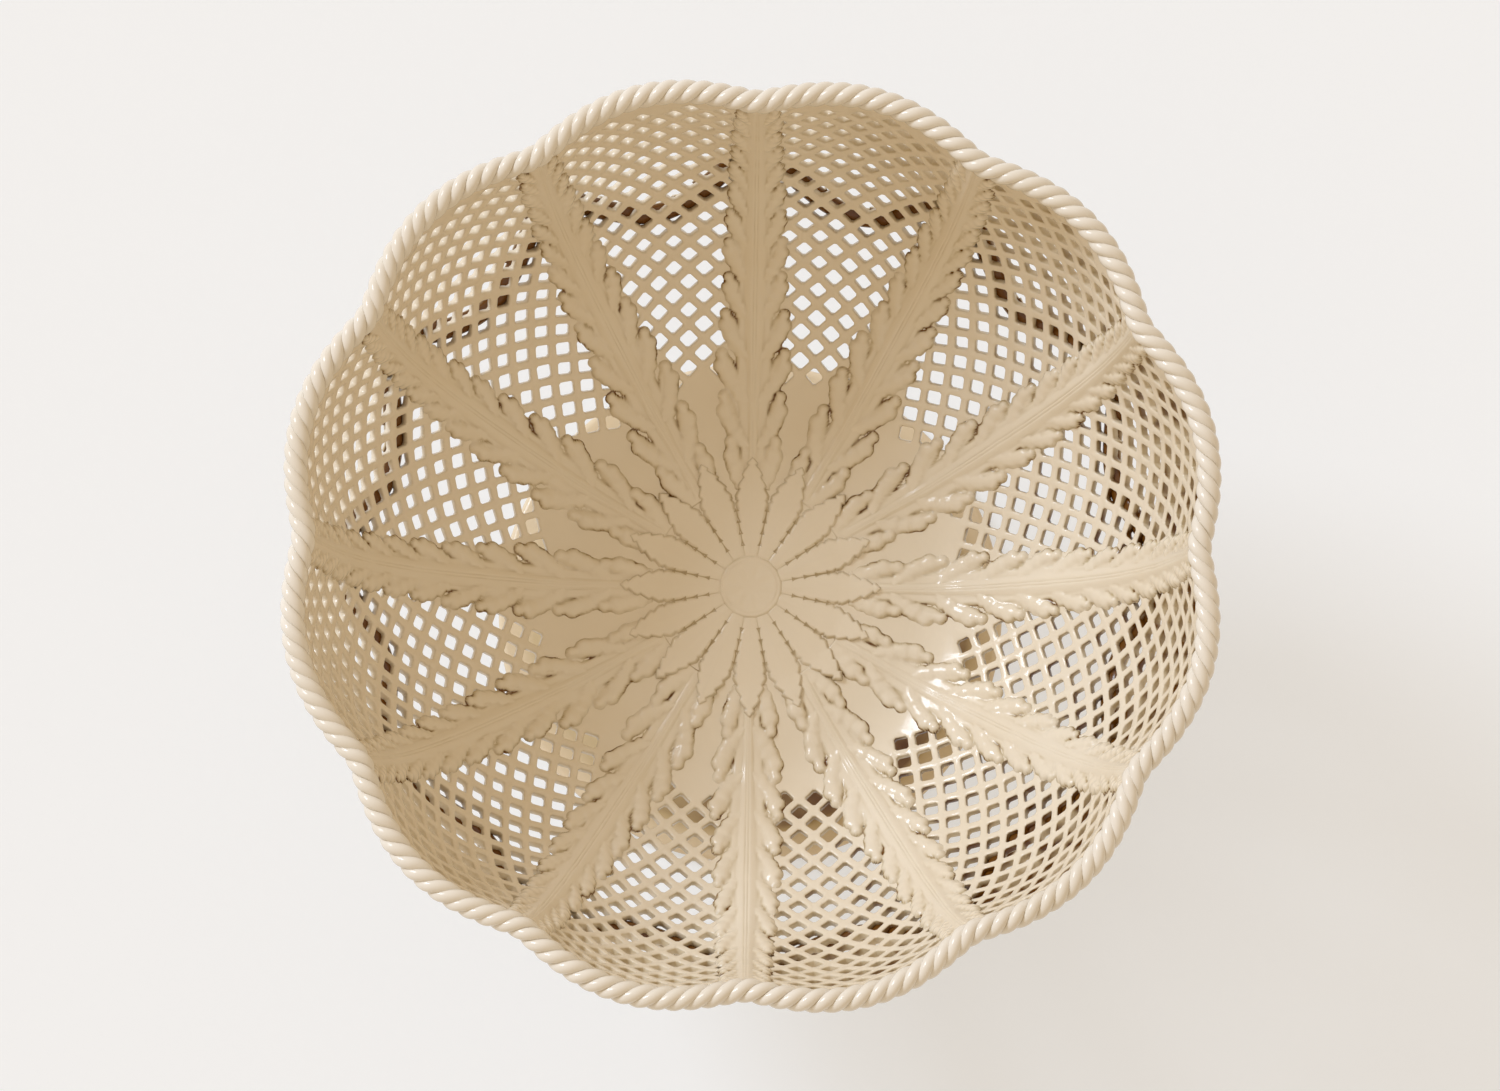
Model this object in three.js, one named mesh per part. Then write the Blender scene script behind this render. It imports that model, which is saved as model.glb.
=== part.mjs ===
// Footed creamware bowl with a pierced, twelve-lobed wall.
// Millimetres, +Z up. The origin is the middle of the foot's resting ring, on the table.
// The wall is one moulding on the real bowl. Here it is parted along the rib lines, at the
// edge of the plain floor and half-way up the wall, so that each pierced panel is a nearly
// flat piece of its own.

import * as THREE from 'three';

// Driving sizes of the bowl.
const footHeight = 61.6;          // table to the underside of the bowl
const floorRadius = 49.2;         // level floor, where the wall begins to turn up
const floorBendRadius = 30;       // bend out of the floor
const lowerWallRadius = 230;      // nearly straight lower wall
const bellyRadius = 87;
const upperWallRadius = 175;      // nearly upright upper wall
const wallThickness = 2.6;
const plainFloorReach = 63;       // unpierced floor, measured from the axis along its face
const jointGap = 0.3;             // clearance between neighbouring pieces
const lobeDepth = 5.4;            // how far a lobe swells past the valleys at the rim
const ropeRadius = 3.6;
const ropeGroove = 0.55;          // depth of the twist's grooves

// Angles and counts.
const floorBendSlope = THREE.MathUtils.degToRad(30);
const lowerWallSlope = THREE.MathUtils.degToRad(37);
const partingSlope = THREE.MathUtils.degToRad(53);
const bellySlope = THREE.MathUtils.degToRad(72);
const rimSlope = THREE.MathUtils.degToRad(84);
const lobeCount = 12;
const ridgesPerLobe = 14;
const lobePitch = 2 * Math.PI / lobeCount;
const firstRibAngle = Math.PI / 2;

// Pierced lattice. One hole stands for about six of the real bowl's.
const holePitch = 13.6;           // between neighbouring lattice bars
const holeSide = 6.8;
const ribLineMargin = 4.2;        // solid clay beside the rib line
const panelFootMargin = 2.2;      // solid clay below the lowest holes
const panelPartMargin = 1.5;      // solid clay on each side of the parting across the wall
const panelTopMargin = 3.9;       // solid clay under the rim

// Leaf ribs on the inside.
const ribStartRadius = 40.2;      // just outside the rosette's leaf tips
const ribRootHalfWidth = 11.5;
const ribTipHalfWidth = 5.4;
const ribVeinHeight = 2.7;
const ribEdgeHeight = 0.9;
const ribTopMargin = 1.6;         // wall left bare between a rib's tip and the rim
const ribNotchShare = 0.68;       // width at a notch between two leaf teeth
const ribToothCount = 11;
const ribSeat = 0.55;             // clearance between a rib and the wall

// Rosette in the middle of the floor.
const bossRadius = 9.3;
const bossHeight = 2.9;
const bossRingRadius = 7;
const bossRingWidth = 0.8;
const bossRingDepth = 0.5;
const rosetteRadius = 39;
const leafWidth = 8.7;
const leafRidgeHeight = 2.6;
const leafEdgeHeight = 1.1;
const rosetteLeafCount = 16;

// Swags on the outside of the panels.
const swagEndDrop = 40;           // below the rim, along the wall
const swagMiddleDrop = 65;
const swagHalfWidth = 3.2;
const swagHeight = 3.8;
const swagSeat = 0.4;
const swagEndMargin = 3.4;        // between a swag's end and the rib line
const swagHuskCount = 9;

// Foot.
const footRadius = 77;
const footWall = 4.2;
const footEdgeHeight = 4.6;
const footNeckRadius = 40;
const footNeckHeight = 47;        // table to the narrowest place
const footCollarRadius = 46;
const footCollarHeight = 4;

const creamware = { color: 0xdccdb2, roughness: 0.28, metalness: 0 };
const creamwareShade = { color: 0xd2c09e, roughness: 0.3, metalness: 0 };

const bowl = new THREE.Group();

function addPiece(name, geometry, finish) {
  const mesh = new THREE.Mesh(geometry, new THREE.MeshStandardMaterial(finish));
  mesh.name = name;
  bowl.add(mesh);
  return mesh;
}

// Heights that follow from the driving sizes.
const floorUnderside = footHeight + jointGap;
const floorTop = floorUnderside + wallThickness;

// The inside profile is measured by its length s from the axis: a level floor, then arcs
// that each start where the last one ends and turn the wall up to a steeper slope.
const wallArcs = [
  { radius: floorBendRadius, slope: floorBendSlope },
  { radius: lowerWallRadius, slope: lowerWallSlope },
  { radius: bellyRadius, slope: bellySlope },
  { radius: upperWallRadius, slope: rimSlope },
];

function arcPoint(start, radius, slope) {
  return {
    s: start.s + radius * (slope - start.slope),
    r: start.r + radius * (Math.sin(slope) - Math.sin(start.slope)),
    z: start.z + radius * (Math.cos(start.slope) - Math.cos(slope)),
    slope,
  };
}

function profileAt(s) {
  let start = { s: floorRadius, r: floorRadius, z: floorTop, slope: 0 };
  if (s <= start.s) return { s, r: s, z: floorTop, slope: 0 };
  for (const arc of wallArcs) {
    const end = arcPoint(start, arc.radius, arc.slope);
    if (s <= end.s || arc === wallArcs.at(-1)) {
      return arcPoint(start, arc.radius, start.slope + (s - start.s) / arc.radius);
    }
    start = end;
  }
  return start;
}

function lengthAtSlope(slope) {
  let start = { s: floorRadius, r: floorRadius, z: floorTop, slope: 0 };
  for (const arc of wallArcs) {
    const end = arcPoint(start, arc.radius, Math.min(slope, arc.slope));
    if (slope <= arc.slope) return end.s;
    start = end;
  }
  return start.s;
}

const wallEnd = lengthAtSlope(rimSlope);
const wallParting = lengthAtSlope(partingSlope);

// A lobe swells between two ribs, from nothing at the floor to its full depth at the rim.
const valleySoftness = 0.12;
const swellPower = 1.15;

function lobeSwell(angle) {
  const wave = Math.sin((angle - firstRibAngle) * lobeCount / 2);
  const soft = Math.sqrt(wave * wave + valleySoftness * valleySoftness) - valleySoftness;
  return soft / (Math.sqrt(1 + valleySoftness * valleySoftness) - valleySoftness);
}

function swellShare(s) {
  return Math.max(0, (s - floorRadius) / (wallEnd - floorRadius)) ** swellPower;
}

// Point at an angle and profile length, lifted off the inside face by lift (negative is
// into the clay and out of the far side).
function wallPoint(angle, s, lift) {
  const { r, z, slope } = profileAt(s);
  const radius = r + lobeDepth * lobeSwell(angle) * swellShare(s) - lift * Math.sin(slope);
  return new THREE.Vector3(
    radius * Math.cos(angle), radius * Math.sin(angle), z + lift * Math.cos(slope));
}

function closedGeometry(points, triangles) {
  const geometry = new THREE.BufferGeometry();
  const positions = new Float32Array(points.length * 3);
  points.forEach((p, i) => positions.set([p.x, p.y, p.z], i * 3));
  geometry.setAttribute('position', new THREE.BufferAttribute(positions, 3));
  geometry.setIndex(triangles.flat());
  geometry.computeVertexNormals();
  return geometry;
}

// A shell from one flat pattern: its triangles on the front, the same turned round on the
// back, and a wall along every edge that only one triangle uses.
function shellGeometry(front, back, triangles) {
  const count = front.length;
  const all = triangles.map((t) => [...t]);
  const used = new Set();
  for (const [a, b, c] of triangles) {
    all.push([a + count, c + count, b + count]);
    for (const edge of [[a, b], [b, c], [c, a]]) used.add(edge.join('_'));
  }
  for (const key of used) {
    const [a, b] = key.split('_').map(Number);
    if (used.has(`${b}_${a}`)) continue;
    all.push([a, a + count, b + count], [a, b + count, b]);
  }
  return closedGeometry([...front, ...back], all);
}

// A bar swept through stations of equally many points, closed at both ends or all round.
function sweptGeometry(stations, closed) {
  const sides = stations[0].length;
  const triangles = [];
  const spans = closed ? stations.length : stations.length - 1;
  for (let i = 0; i < spans; i += 1) {
    const here = i * sides;
    const next = ((i + 1) % stations.length) * sides;
    for (let k = 0; k < sides; k += 1) {
      const m = (k + 1) % sides;
      triangles.push([here + k, next + k, next + m], [here + k, next + m, here + m]);
    }
  }
  if (!closed) {
    const last = (stations.length - 1) * sides;
    for (let k = 1; k < sides - 1; k += 1) {
      triangles.push([0, k, k + 1], [last, last + k + 1, last + k]);
    }
  }
  return closedGeometry(stations.flat(), triangles);
}

function latheGeometry(profile, segments) {
  const outline = profile.map(([r, z]) => new THREE.Vector2(r, z));
  const geometry = new THREE.LatheGeometry(outline, segments);
  geometry.rotateX(Math.PI / 2);
  return geometry;
}

// Plain floor: level in the middle, its edge just on the start of the bend.
const roundSegments = 48;
const floorBendSteps = 3;
const panelStart = plainFloorReach + jointGap;

function floorGeometry() {
  const inside = Array.from({ length: floorBendSteps + 1 }, (_, i) => (
    THREE.MathUtils.lerp(floorRadius, plainFloorReach, i / floorBendSteps)));
  const upper = inside.map((s) => profileAt(s)).map(({ r, z }) => [r, z]);
  const lower = inside.map((s) => profileAt(s)).map(
    ({ r, z, slope }) => [r + wallThickness * Math.sin(slope), z - wallThickness * Math.cos(slope)]);
  const outline = [[0, floorUnderside], ...lower, ...upper.reverse(), [0, floorTop]];
  return latheGeometry(outline, roundSegments);
}

addPiece('bowl_floor', floorGeometry(), creamware);

// Pierced panels. A lattice was struck from every second rib, so the columns of holes in
// the two panels beside such a rib run along it.
const rowStep = holePitch / Math.SQRT2;
const holeHalfDiagonal = holeSide / Math.SQRT2;
const plainStepsAcross = 8;

function rowLevels(band) {
  const lowest = band.start + band.startMargin + holeHalfDiagonal;
  const highest = band.end - band.endMargin - holeHalfDiagonal;
  const rows = Math.max(1, Math.floor((highest - lowest) / rowStep) + 1);
  const slack = highest - lowest - (rows - 1) * rowStep;
  return Array.from({ length: rows }, (_, j) => lowest + slack / 2 + j * rowStep);
}

function panelEdges(s) {
  const { r } = profileAt(s);
  return { near: jointGap / 2, far: r * lobePitch - jointGap / 2 };
}

function holesInRow(level, row) {
  const reach = ribLineMargin + holeHalfDiagonal;
  const far = Math.min(panelEdges(level - holeHalfDiagonal).far, panelEdges(level).far);
  const centres = [];
  for (let k = row % 2; k * rowStep < far; k += 2) {
    const u = k * rowStep;
    if (u >= reach && u <= far - reach) centres.push(u);
  }
  return centres;
}

function panelPattern(band) {
  const points = [];
  const triangles = [];
  const add = (u, s) => points.push({ u, s }) - 1;
  const plainRow = (s) => {
    const { near, far } = panelEdges(s);
    const row = [];
    for (let i = 0; i <= plainStepsAcross; i += 1) {
      row.push(add(near + (far - near) * i / plainStepsAcross, s));
    }
    return { below: row, above: row };
  };
  const holeRow = (s, row) => {
    const { near, far } = panelEdges(s);
    const below = [add(near, s)];
    const above = [below[0]];
    for (const u of holesInRow(s, row)) {
      const left = add(u - holeHalfDiagonal, s);
      const right = add(u + holeHalfDiagonal, s);
      below.push(left, add(u, s - holeHalfDiagonal), right);
      above.push(left, add(u, s + holeHalfDiagonal), right);
    }
    const last = add(far, s);
    below.push(last);
    above.push(last);
    return { below, above };
  };
  const rows = [plainRow(band.start)];
  rowLevels(band).forEach((level, row) => rows.push(holeRow(level, row)));
  rows.push(plainRow(band.end));
  for (let j = 0; j < rows.length - 1; j += 1) {
    const lower = rows[j].above;
    const upper = rows[j + 1].below;
    let a = 0;
    let b = 0;
    while (a < lower.length - 1 || b < upper.length - 1) {
      const lowerNext = a < lower.length - 1 ? points[lower[a + 1]].u : Infinity;
      const upperNext = b < upper.length - 1 ? points[upper[b + 1]].u : Infinity;
      if (lowerNext < upperNext) {
        triangles.push([lower[a], lower[a + 1], upper[b]]);
        a += 1;
      } else {
        triangles.push([lower[a], upper[b + 1], upper[b]]);
        b += 1;
      }
    }
  }
  return { points, triangles };
}

function panelGeometry(pattern, latticeRibAngle, side) {
  const place = (lift) => pattern.points.map(
    ({ u, s }) => wallPoint(latticeRibAngle + side * u / profileAt(s).r, s, lift));
  const triangles = side < 0 ? pattern.triangles : pattern.triangles.map(([a, b, c]) => [a, c, b]);
  return shellGeometry(place(0), place(-wallThickness), triangles);
}

function twoDigits(number) {
  return String(number).padStart(2, '0');
}

const panelBands = [
  {
    name: 'lower_lattice', start: panelStart, startMargin: panelFootMargin,
    end: wallParting - jointGap / 2, endMargin: panelPartMargin,
  },
  {
    name: 'upper_lattice', start: wallParting + jointGap / 2, startMargin: panelPartMargin,
    end: wallEnd, endMargin: panelTopMargin,
  },
];

for (const band of panelBands) {
  const pattern = panelPattern(band);
  for (let i = 0; i < lobeCount; i += 1) {
    const startsAtLatticeRib = i % 2 === 0;
    const side = startsAtLatticeRib ? 1 : -1;
    const rib = firstRibAngle + (startsAtLatticeRib ? i : i + 1) * lobePitch;
    addPiece(`${band.name}_${twoDigits(i + 1)}`, panelGeometry(pattern, rib, side), creamware);
  }
}

// Leaf ribs: a toothed strip with a raised vein, lying in each valley.
const ribStationShares = { tooth: 0.62, notch: 0.38 };

function ribGeometry(ribAngle) {
  const end = wallEnd - ribTopMargin;
  const toothLength = (end - ribStartRadius) / ribToothCount;
  const stations = [];
  const addStation = (s, widthShare, heightShare) => {
    const along = (s - ribStartRadius) / (end - ribStartRadius);
    const half = THREE.MathUtils.lerp(ribRootHalfWidth, ribTipHalfWidth, along) * widthShare;
    const { r } = profileAt(s);
    const at = (across, lift) => wallPoint(ribAngle + across / r, s, lift);
    const vein = ribSeat + ribVeinHeight * heightShare;
    const edge = ribSeat + ribEdgeHeight;
    stations.push([
      at(-half, edge), at(0, vein), at(half, edge),
      at(half, ribSeat), at(0, ribSeat), at(-half, ribSeat),
    ]);
  };
  for (let i = 0; i < ribToothCount; i += 1) {
    const start = ribStartRadius + i * toothLength;
    addStation(start, ribNotchShare, 1);
    addStation(start + toothLength * ribStationShares.tooth, 1, 1);
  }
  addStation(end, ribNotchShare * ribStationShares.notch, ribStationShares.tooth);
  return sweptGeometry(stations, false);
}

for (let i = 0; i < lobeCount; i += 1) {
  addPiece(`leaf_rib_${twoDigits(i + 1)}`, ribGeometry(firstRibAngle + i * lobePitch), creamwareShade);
}

// Rosette: pointed leaves round a hub ring, each with a ridge along its middle.
const leafShares = { notchRadius: 0.36, shoulderRadius: 0.66, notchHeight: 0.7 };

function rosetteGeometry() {
  const hub = bossRadius + jointGap;
  const leafPitch = 2 * Math.PI / rosetteLeafCount;
  const base = floorTop + jointGap;
  const notch = hub + (rosetteRadius - hub) * leafShares.notchRadius;
  const shoulder = hub + (rosetteRadius - hub) * leafShares.shoulderRadius;
  const shoulderAngle = Math.min(leafWidth / 2 / shoulder, leafPitch / 2);
  const front = [];
  const back = [];
  const add = (radius, angle, height) => {
    const x = radius * Math.cos(angle);
    const y = radius * Math.sin(angle);
    front.push(new THREE.Vector3(x, y, base + height));
    back.push(new THREE.Vector3(x, y, base));
    return front.length - 1;
  };
  const leaves = Array.from({ length: rosetteLeafCount }, (_, i) => {
    const angle = firstRibAngle + i * leafPitch;
    return {
      hubGap: add(hub, angle - leafPitch / 2, leafEdgeHeight * leafShares.notchHeight),
      hub: add(hub, angle, leafRidgeHeight),
      gap: add(notch, angle - leafPitch / 2, leafEdgeHeight * leafShares.notchHeight),
      middle: add(notch, angle, leafRidgeHeight),
      right: add(shoulder, angle - shoulderAngle, leafEdgeHeight),
      ridge: add(shoulder, angle, leafRidgeHeight),
      left: add(shoulder, angle + shoulderAngle, leafEdgeHeight),
      tip: add(rosetteRadius, angle, leafEdgeHeight),
    };
  });
  const triangles = [];
  leaves.forEach((leaf, i) => {
    const next = leaves[(i + 1) % rosetteLeafCount];
    triangles.push(
      [leaf.hubGap, leaf.gap, leaf.middle], [leaf.hubGap, leaf.middle, leaf.hub],
      [leaf.hub, leaf.middle, next.gap], [leaf.hub, next.gap, next.hubGap],
      [leaf.gap, leaf.right, leaf.middle], [leaf.right, leaf.ridge, leaf.middle],
      [leaf.middle, leaf.ridge, leaf.left], [leaf.middle, leaf.left, next.gap],
      [leaf.right, leaf.tip, leaf.ridge], [leaf.ridge, leaf.tip, leaf.left]);
  });
  return shellGeometry(front, back, triangles);
}

addPiece('rosette', rosetteGeometry(), creamwareShade);

// Boss: a low disc with a ring cut round its face.
const bossSegments = 32;
const bossEdgeShare = 0.75;

function bossGeometry() {
  const base = floorTop + jointGap;
  const top = base + bossHeight;
  const outline = [
    [0, base], [bossRadius, base], [bossRadius, base + bossHeight * bossEdgeShare],
    [bossRingRadius + bossRingWidth / 2, top], [bossRingRadius, top - bossRingDepth],
    [bossRingRadius - bossRingWidth / 2, top], [0, top],
  ];
  return latheGeometry(outline, bossSegments);
}

addPiece('rosette_boss', bossGeometry(), creamware);

// Rope rim: three strands twisted together, laid along the scalloped top of the wall. Ridge
// and groove alternate from point to point and from station to station.
const strandCount = 3;

function ropeGeometry() {
  const stationCount = lobeCount * ridgesPerLobe * 2;
  const sides = strandCount * 2;
  const middle = (angle) => {
    const { slope } = profileAt(wallEnd);
    const seat = wallPoint(angle, wallEnd, -wallThickness / 2);
    const rise = jointGap + ropeRadius;
    const outward = rise * Math.cos(slope);
    return new THREE.Vector3(
      seat.x + outward * Math.cos(angle), seat.y + outward * Math.sin(angle),
      seat.z + rise * Math.sin(slope));
  };
  const stations = Array.from({ length: stationCount }, (_, i) => {
    const angle = firstRibAngle + i * 2 * Math.PI / stationCount;
    const centre = middle(angle);
    return Array.from({ length: sides }, (_unused, k) => {
      const turn = k * 2 * Math.PI / sides;
      const radius = ropeRadius - ((i + k) % 2 === 0 ? 0 : ropeGroove);
      const outward = radius * Math.cos(turn);
      return new THREE.Vector3(
        centre.x + outward * Math.cos(angle), centre.y + outward * Math.sin(angle),
        centre.z + radius * Math.sin(turn));
    });
  });
  return sweptGeometry(stations, true);
}

addPiece('rope_rim', ropeGeometry(), creamware);

// Swags: a string of husks hung from rib to rib on the outside of each panel.
const swagShares = { joint: 0.72, end: 0.4, tip: 0.45 };
const outsideLift = -(wallThickness + swagSeat);

function swagGeometry(middleAngle) {
  const stations = [];
  const endRadius = profileAt(wallEnd - swagEndDrop).r;
  const halfSpan = lobePitch / 2 - swagEndMargin / endRadius;
  const stationCount = swagHuskCount * 2;
  for (let i = 0; i <= stationCount; i += 1) {
    const across = i / stationCount * 2 - 1;
    const drop = swagMiddleDrop + (swagEndDrop - swagMiddleDrop) * across * across;
    const taper = THREE.MathUtils.lerp(1, swagShares.end, across * across)
      * (i % 2 === 0 ? swagShares.joint : 1);
    const half = swagHalfWidth * taper;
    const angle = middleAngle + across * halfSpan;
    const centre = wallEnd - drop;
    const at = (up, out) => wallPoint(angle, centre + up, outsideLift - out);
    stations.push([
      at(-half, 0), at(-half * swagShares.tip, swagHeight * taper),
      at(half * swagShares.tip, swagHeight * taper), at(half, 0),
    ]);
  }
  return sweptGeometry(stations, false);
}

for (let i = 0; i < lobeCount; i += 1) {
  const middleAngle = firstRibAngle + (i + 0.5) * lobePitch;
  addPiece(`swag_${twoDigits(i + 1)}`, swagGeometry(middleAngle), creamwareShade);
}

// Foot: a hollow spreading pedestal with a rolled edge and a collar under the bowl.
const footSegments = 36;
const footSweepSteps = 5;

function footSweep(fromRadius, fromHeight, toRadius, toHeight) {
  return Array.from({ length: footSweepSteps + 1 }, (_, i) => {
    const turn = Math.PI / 2 * i / footSweepSteps;
    return [
      toRadius + (fromRadius - toRadius) * (1 - Math.sin(turn)),
      toHeight + (fromHeight - toHeight) * Math.cos(turn),
    ];
  });
}

function footGeometry() {
  const shoulder = footRadius - footEdgeHeight / 2;
  const outer = footSweep(shoulder, footEdgeHeight, footNeckRadius, footNeckHeight);
  const inner = footSweep(
    shoulder - footWall, 0, footNeckRadius - footWall, footNeckHeight);
  const collarBase = footHeight - footCollarHeight;
  const outline = [
    [shoulder, 0], [footRadius, footEdgeHeight / 2], ...outer,
    [footCollarRadius, collarBase], [footCollarRadius, footHeight],
    [footNeckRadius - footWall, footHeight], ...inner.reverse(), [shoulder, 0],
  ];
  return latheGeometry(outline, footSegments);
}

addPiece('pedestal_foot', footGeometry(), creamware);

export default bowl;
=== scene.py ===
import bmesh
import bpy
import numpy as np
from functools import partial
from math import cos, pi, radians, sin, tan
from mathutils import Matrix, Vector


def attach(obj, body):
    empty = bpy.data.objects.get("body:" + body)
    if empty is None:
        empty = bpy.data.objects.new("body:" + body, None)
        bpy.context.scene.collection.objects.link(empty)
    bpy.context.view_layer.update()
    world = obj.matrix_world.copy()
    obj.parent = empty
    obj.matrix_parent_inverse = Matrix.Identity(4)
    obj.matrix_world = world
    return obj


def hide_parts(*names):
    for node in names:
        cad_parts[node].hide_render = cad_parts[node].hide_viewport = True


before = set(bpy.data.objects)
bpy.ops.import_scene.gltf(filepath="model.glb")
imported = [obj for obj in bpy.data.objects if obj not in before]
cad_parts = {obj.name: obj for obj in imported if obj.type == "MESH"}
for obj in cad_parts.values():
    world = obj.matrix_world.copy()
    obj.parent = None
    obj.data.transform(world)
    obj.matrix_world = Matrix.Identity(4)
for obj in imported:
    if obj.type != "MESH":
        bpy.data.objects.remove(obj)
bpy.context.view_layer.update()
bpy.context.scene.view_settings.view_transform = "Standard"
mm = 0.001


def linear(hexColour):
    parts = [int(hexColour[i:i + 2], 16) / 255 for i in (1, 3, 5)]
    return tuple(c / 12.92 if c <= 0.04045 else ((c + 0.055) / 1.055) ** 2.4 for c in parts) + (1.0,)


def addNode(tree, kind, links=(), **settings):
    # links gives the inputs, in order or by name or number: each a plain value, the socket of
    # another node, or a node itself for its first output
    node = tree.nodes.new(kind)
    for name, value in settings.items():
        setattr(node, name, value)
    for socket, source in links.items() if isinstance(links, dict) else enumerate(links):
        if isinstance(source, bpy.types.Node):
            source = source.outputs[0]
        if isinstance(source, bpy.types.NodeSocket):
            tree.links.new(source, node.inputs[socket])
        else:
            node.inputs[socket].default_value = source
    return node


def emptyTree(owner):
    owner.use_nodes = True
    owner.node_tree.nodes.clear()
    return owner.node_tree


def nodeTree(name, sizes):
    # a Geometry Nodes tree with a geometry in and out, and one named input for each size
    kinds = {int: "Int", float: "Float"}
    tree = bpy.data.node_groups.new(name, "GeometryNodeTree")
    tree.interface.new_socket("Geometry", in_out="INPUT", socket_type="NodeSocketGeometry")
    for label, value in sizes.items():
        kind = kinds.get(type(value), "Object")
        socket = tree.interface.new_socket(label, in_out="INPUT", socket_type="NodeSocket" + kind)
        if kind != "Object":
            socket.default_value = value
    tree.interface.new_socket("Geometry", in_out="OUTPUT", socket_type="NodeSocketGeometry")
    return tree, tree.nodes.new("NodeGroupInput"), tree.nodes.new("NodeGroupOutput")


def glazedEnd(tree, out, geometry, material):
    whole = addNode(tree, "GeometryNodeRealizeInstances", {"Geometry": geometry})
    glazed = addNode(tree, "GeometryNodeSetMaterial", {"Geometry": whole, "Material": material})
    tree.links.new(glazed.outputs[0], out.inputs[0])
    return tree


def growMesh(carrier, tree, values):
    # runs a tree on an object, with its inputs set by identifier, and gives back a plain mesh
    modifier = carrier.modifiers.new(tree.name, "NODES")
    modifier.node_group = tree
    sockets = {item.name: item.identifier for item in tree.interface.items_tree
               if item.in_out == "INPUT"}
    for label, value in values.items():
        modifier[sockets[label]] = value
    graph = bpy.context.evaluated_depsgraph_get()
    mesh = bpy.data.meshes.new_from_object(carrier.evaluated_get(graph), depsgraph=graph)
    carrier.modifiers.remove(modifier)
    return mesh


def newObject(name, data):
    thing = bpy.data.objects.new(name, data)
    bpy.context.scene.collection.objects.link(thing)
    return thing


def meshPoints(mesh):
    points = np.zeros(len(mesh.vertices) * 3)
    mesh.vertices.foreach_get("co", points)
    return points.reshape(-1, 3)


def setPool(mesh, amounts):
    # the share of pooled glaze and of painted shade at each point, which the glaze materials read
    layer = mesh.attributes.new("glazePoolShade", "FLOAT", "POINT")
    layer.data.foreach_set("value", np.asarray(amounts, dtype=np.float32))


def meshFrom(name, points, faces, pool=None):
    mesh = bpy.data.meshes.new(name)
    mesh.from_pydata([tuple(p) for p in points], [], [tuple(f) for f in faces])
    if pool is not None:
        setPool(mesh, pool)
    mesh.update()
    return mesh


def tubeFaces(rings, sides):
    # a closed tube of rings of points, one after another, with a flat cap at each end
    faces = [tuple(range(sides))]
    for i in range(rings - 1):
        here, after = i * sides, (i + 1) * sides
        for k in range(sides):
            m = (k + 1) % sides
            faces.append((here + k, after + k, after + m, here + m))
    return faces + [tuple(reversed(range((rings - 1) * sides, rings * sides)))]


def finishPiece(name, mesh, nodes, material):
    piece = newObject(name, mesh)
    piece.data.materials.clear()
    piece.data.materials.append(material)
    piece.data.shade_smooth()
    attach(piece, "root")
    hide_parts(*nodes)
    print("piece", piece.name, "triangles", sum(len(f.vertices) - 2 for f in piece.data.polygons))


# the bowl's shape in mm: a level floor, then four arcs that turn the wall up, with twelve lobes;
# each arc is its radius and the slope in degrees that it ends at
bowl = {
    "floorTop": 64.5, "floorRadius": 49.2, "wallThickness": 2.6,
    "arcs": ((30.0, 30.0), (230.0, 37.0), (87.0, 72.0), (175.0, 84.0)), "arcSteps": 60,
    "lobes": 12, "lobeDepth": 5.4, "valleySoftness": 0.12, "swellPower": 1.15,
}
lobePitch = 2 * pi / bowl["lobes"]
firstRib = pi / 2


def profilePoints():
    # rows of length along the inside face, radius, height and slope
    s, r, z, slope = bowl["floorRadius"], bowl["floorRadius"], bowl["floorTop"], 0.0
    rows = [(0.0, 0.0, z, 0.0), (s, r, z, 0.0)]
    for radius, degrees in bowl["arcs"]:
        for turn in np.linspace(slope, radians(degrees), bowl["arcSteps"])[1:]:
            rows.append((s + radius * (turn - slope), r + radius * (sin(turn) - sin(slope)),
                         z + radius * (cos(slope) - cos(turn)), turn))
        s, r, z, slope = rows[-1]
    return np.array(rows)


profile = profilePoints()
wallEnd = profile[-1, 0]


def wallRadius(s):
    return np.interp(s, profile[:, 0], profile[:, 1])


def wallSlope(s):
    return np.interp(s, profile[:, 0], profile[:, 3])


def smoothStep(low, high, value):
    share = np.clip((value - low) / (high - low), 0, 1)
    return share * share * (3 - 2 * share)


def lobeSwell(angle):
    # 0 in the valley under each rib and 1 at the middle of each lobe
    soft = bowl["valleySoftness"]
    wave = np.sin((angle - firstRib) * bowl["lobes"] / 2)
    return (np.sqrt(wave * wave + soft * soft) - soft) / (np.sqrt(1 + soft * soft) - soft)


def wallPoint(angle, s, lift):
    # a point on the inside face, raised off it by lift in millimetres; the result is in metres
    slope = wallSlope(s)
    share = np.clip((s - bowl["floorRadius"]) / (wallEnd - bowl["floorRadius"]), 0, None)
    r = wallRadius(s) + bowl["lobeDepth"] * lobeSwell(angle) * share ** bowl["swellPower"]
    r = r - lift * np.sin(slope)
    z = np.interp(s, profile[:, 0], profile[:, 2]) + lift * np.cos(slope)
    return np.stack([r * np.cos(angle), r * np.sin(angle), z + 0 * r], -1) * mm


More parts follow.
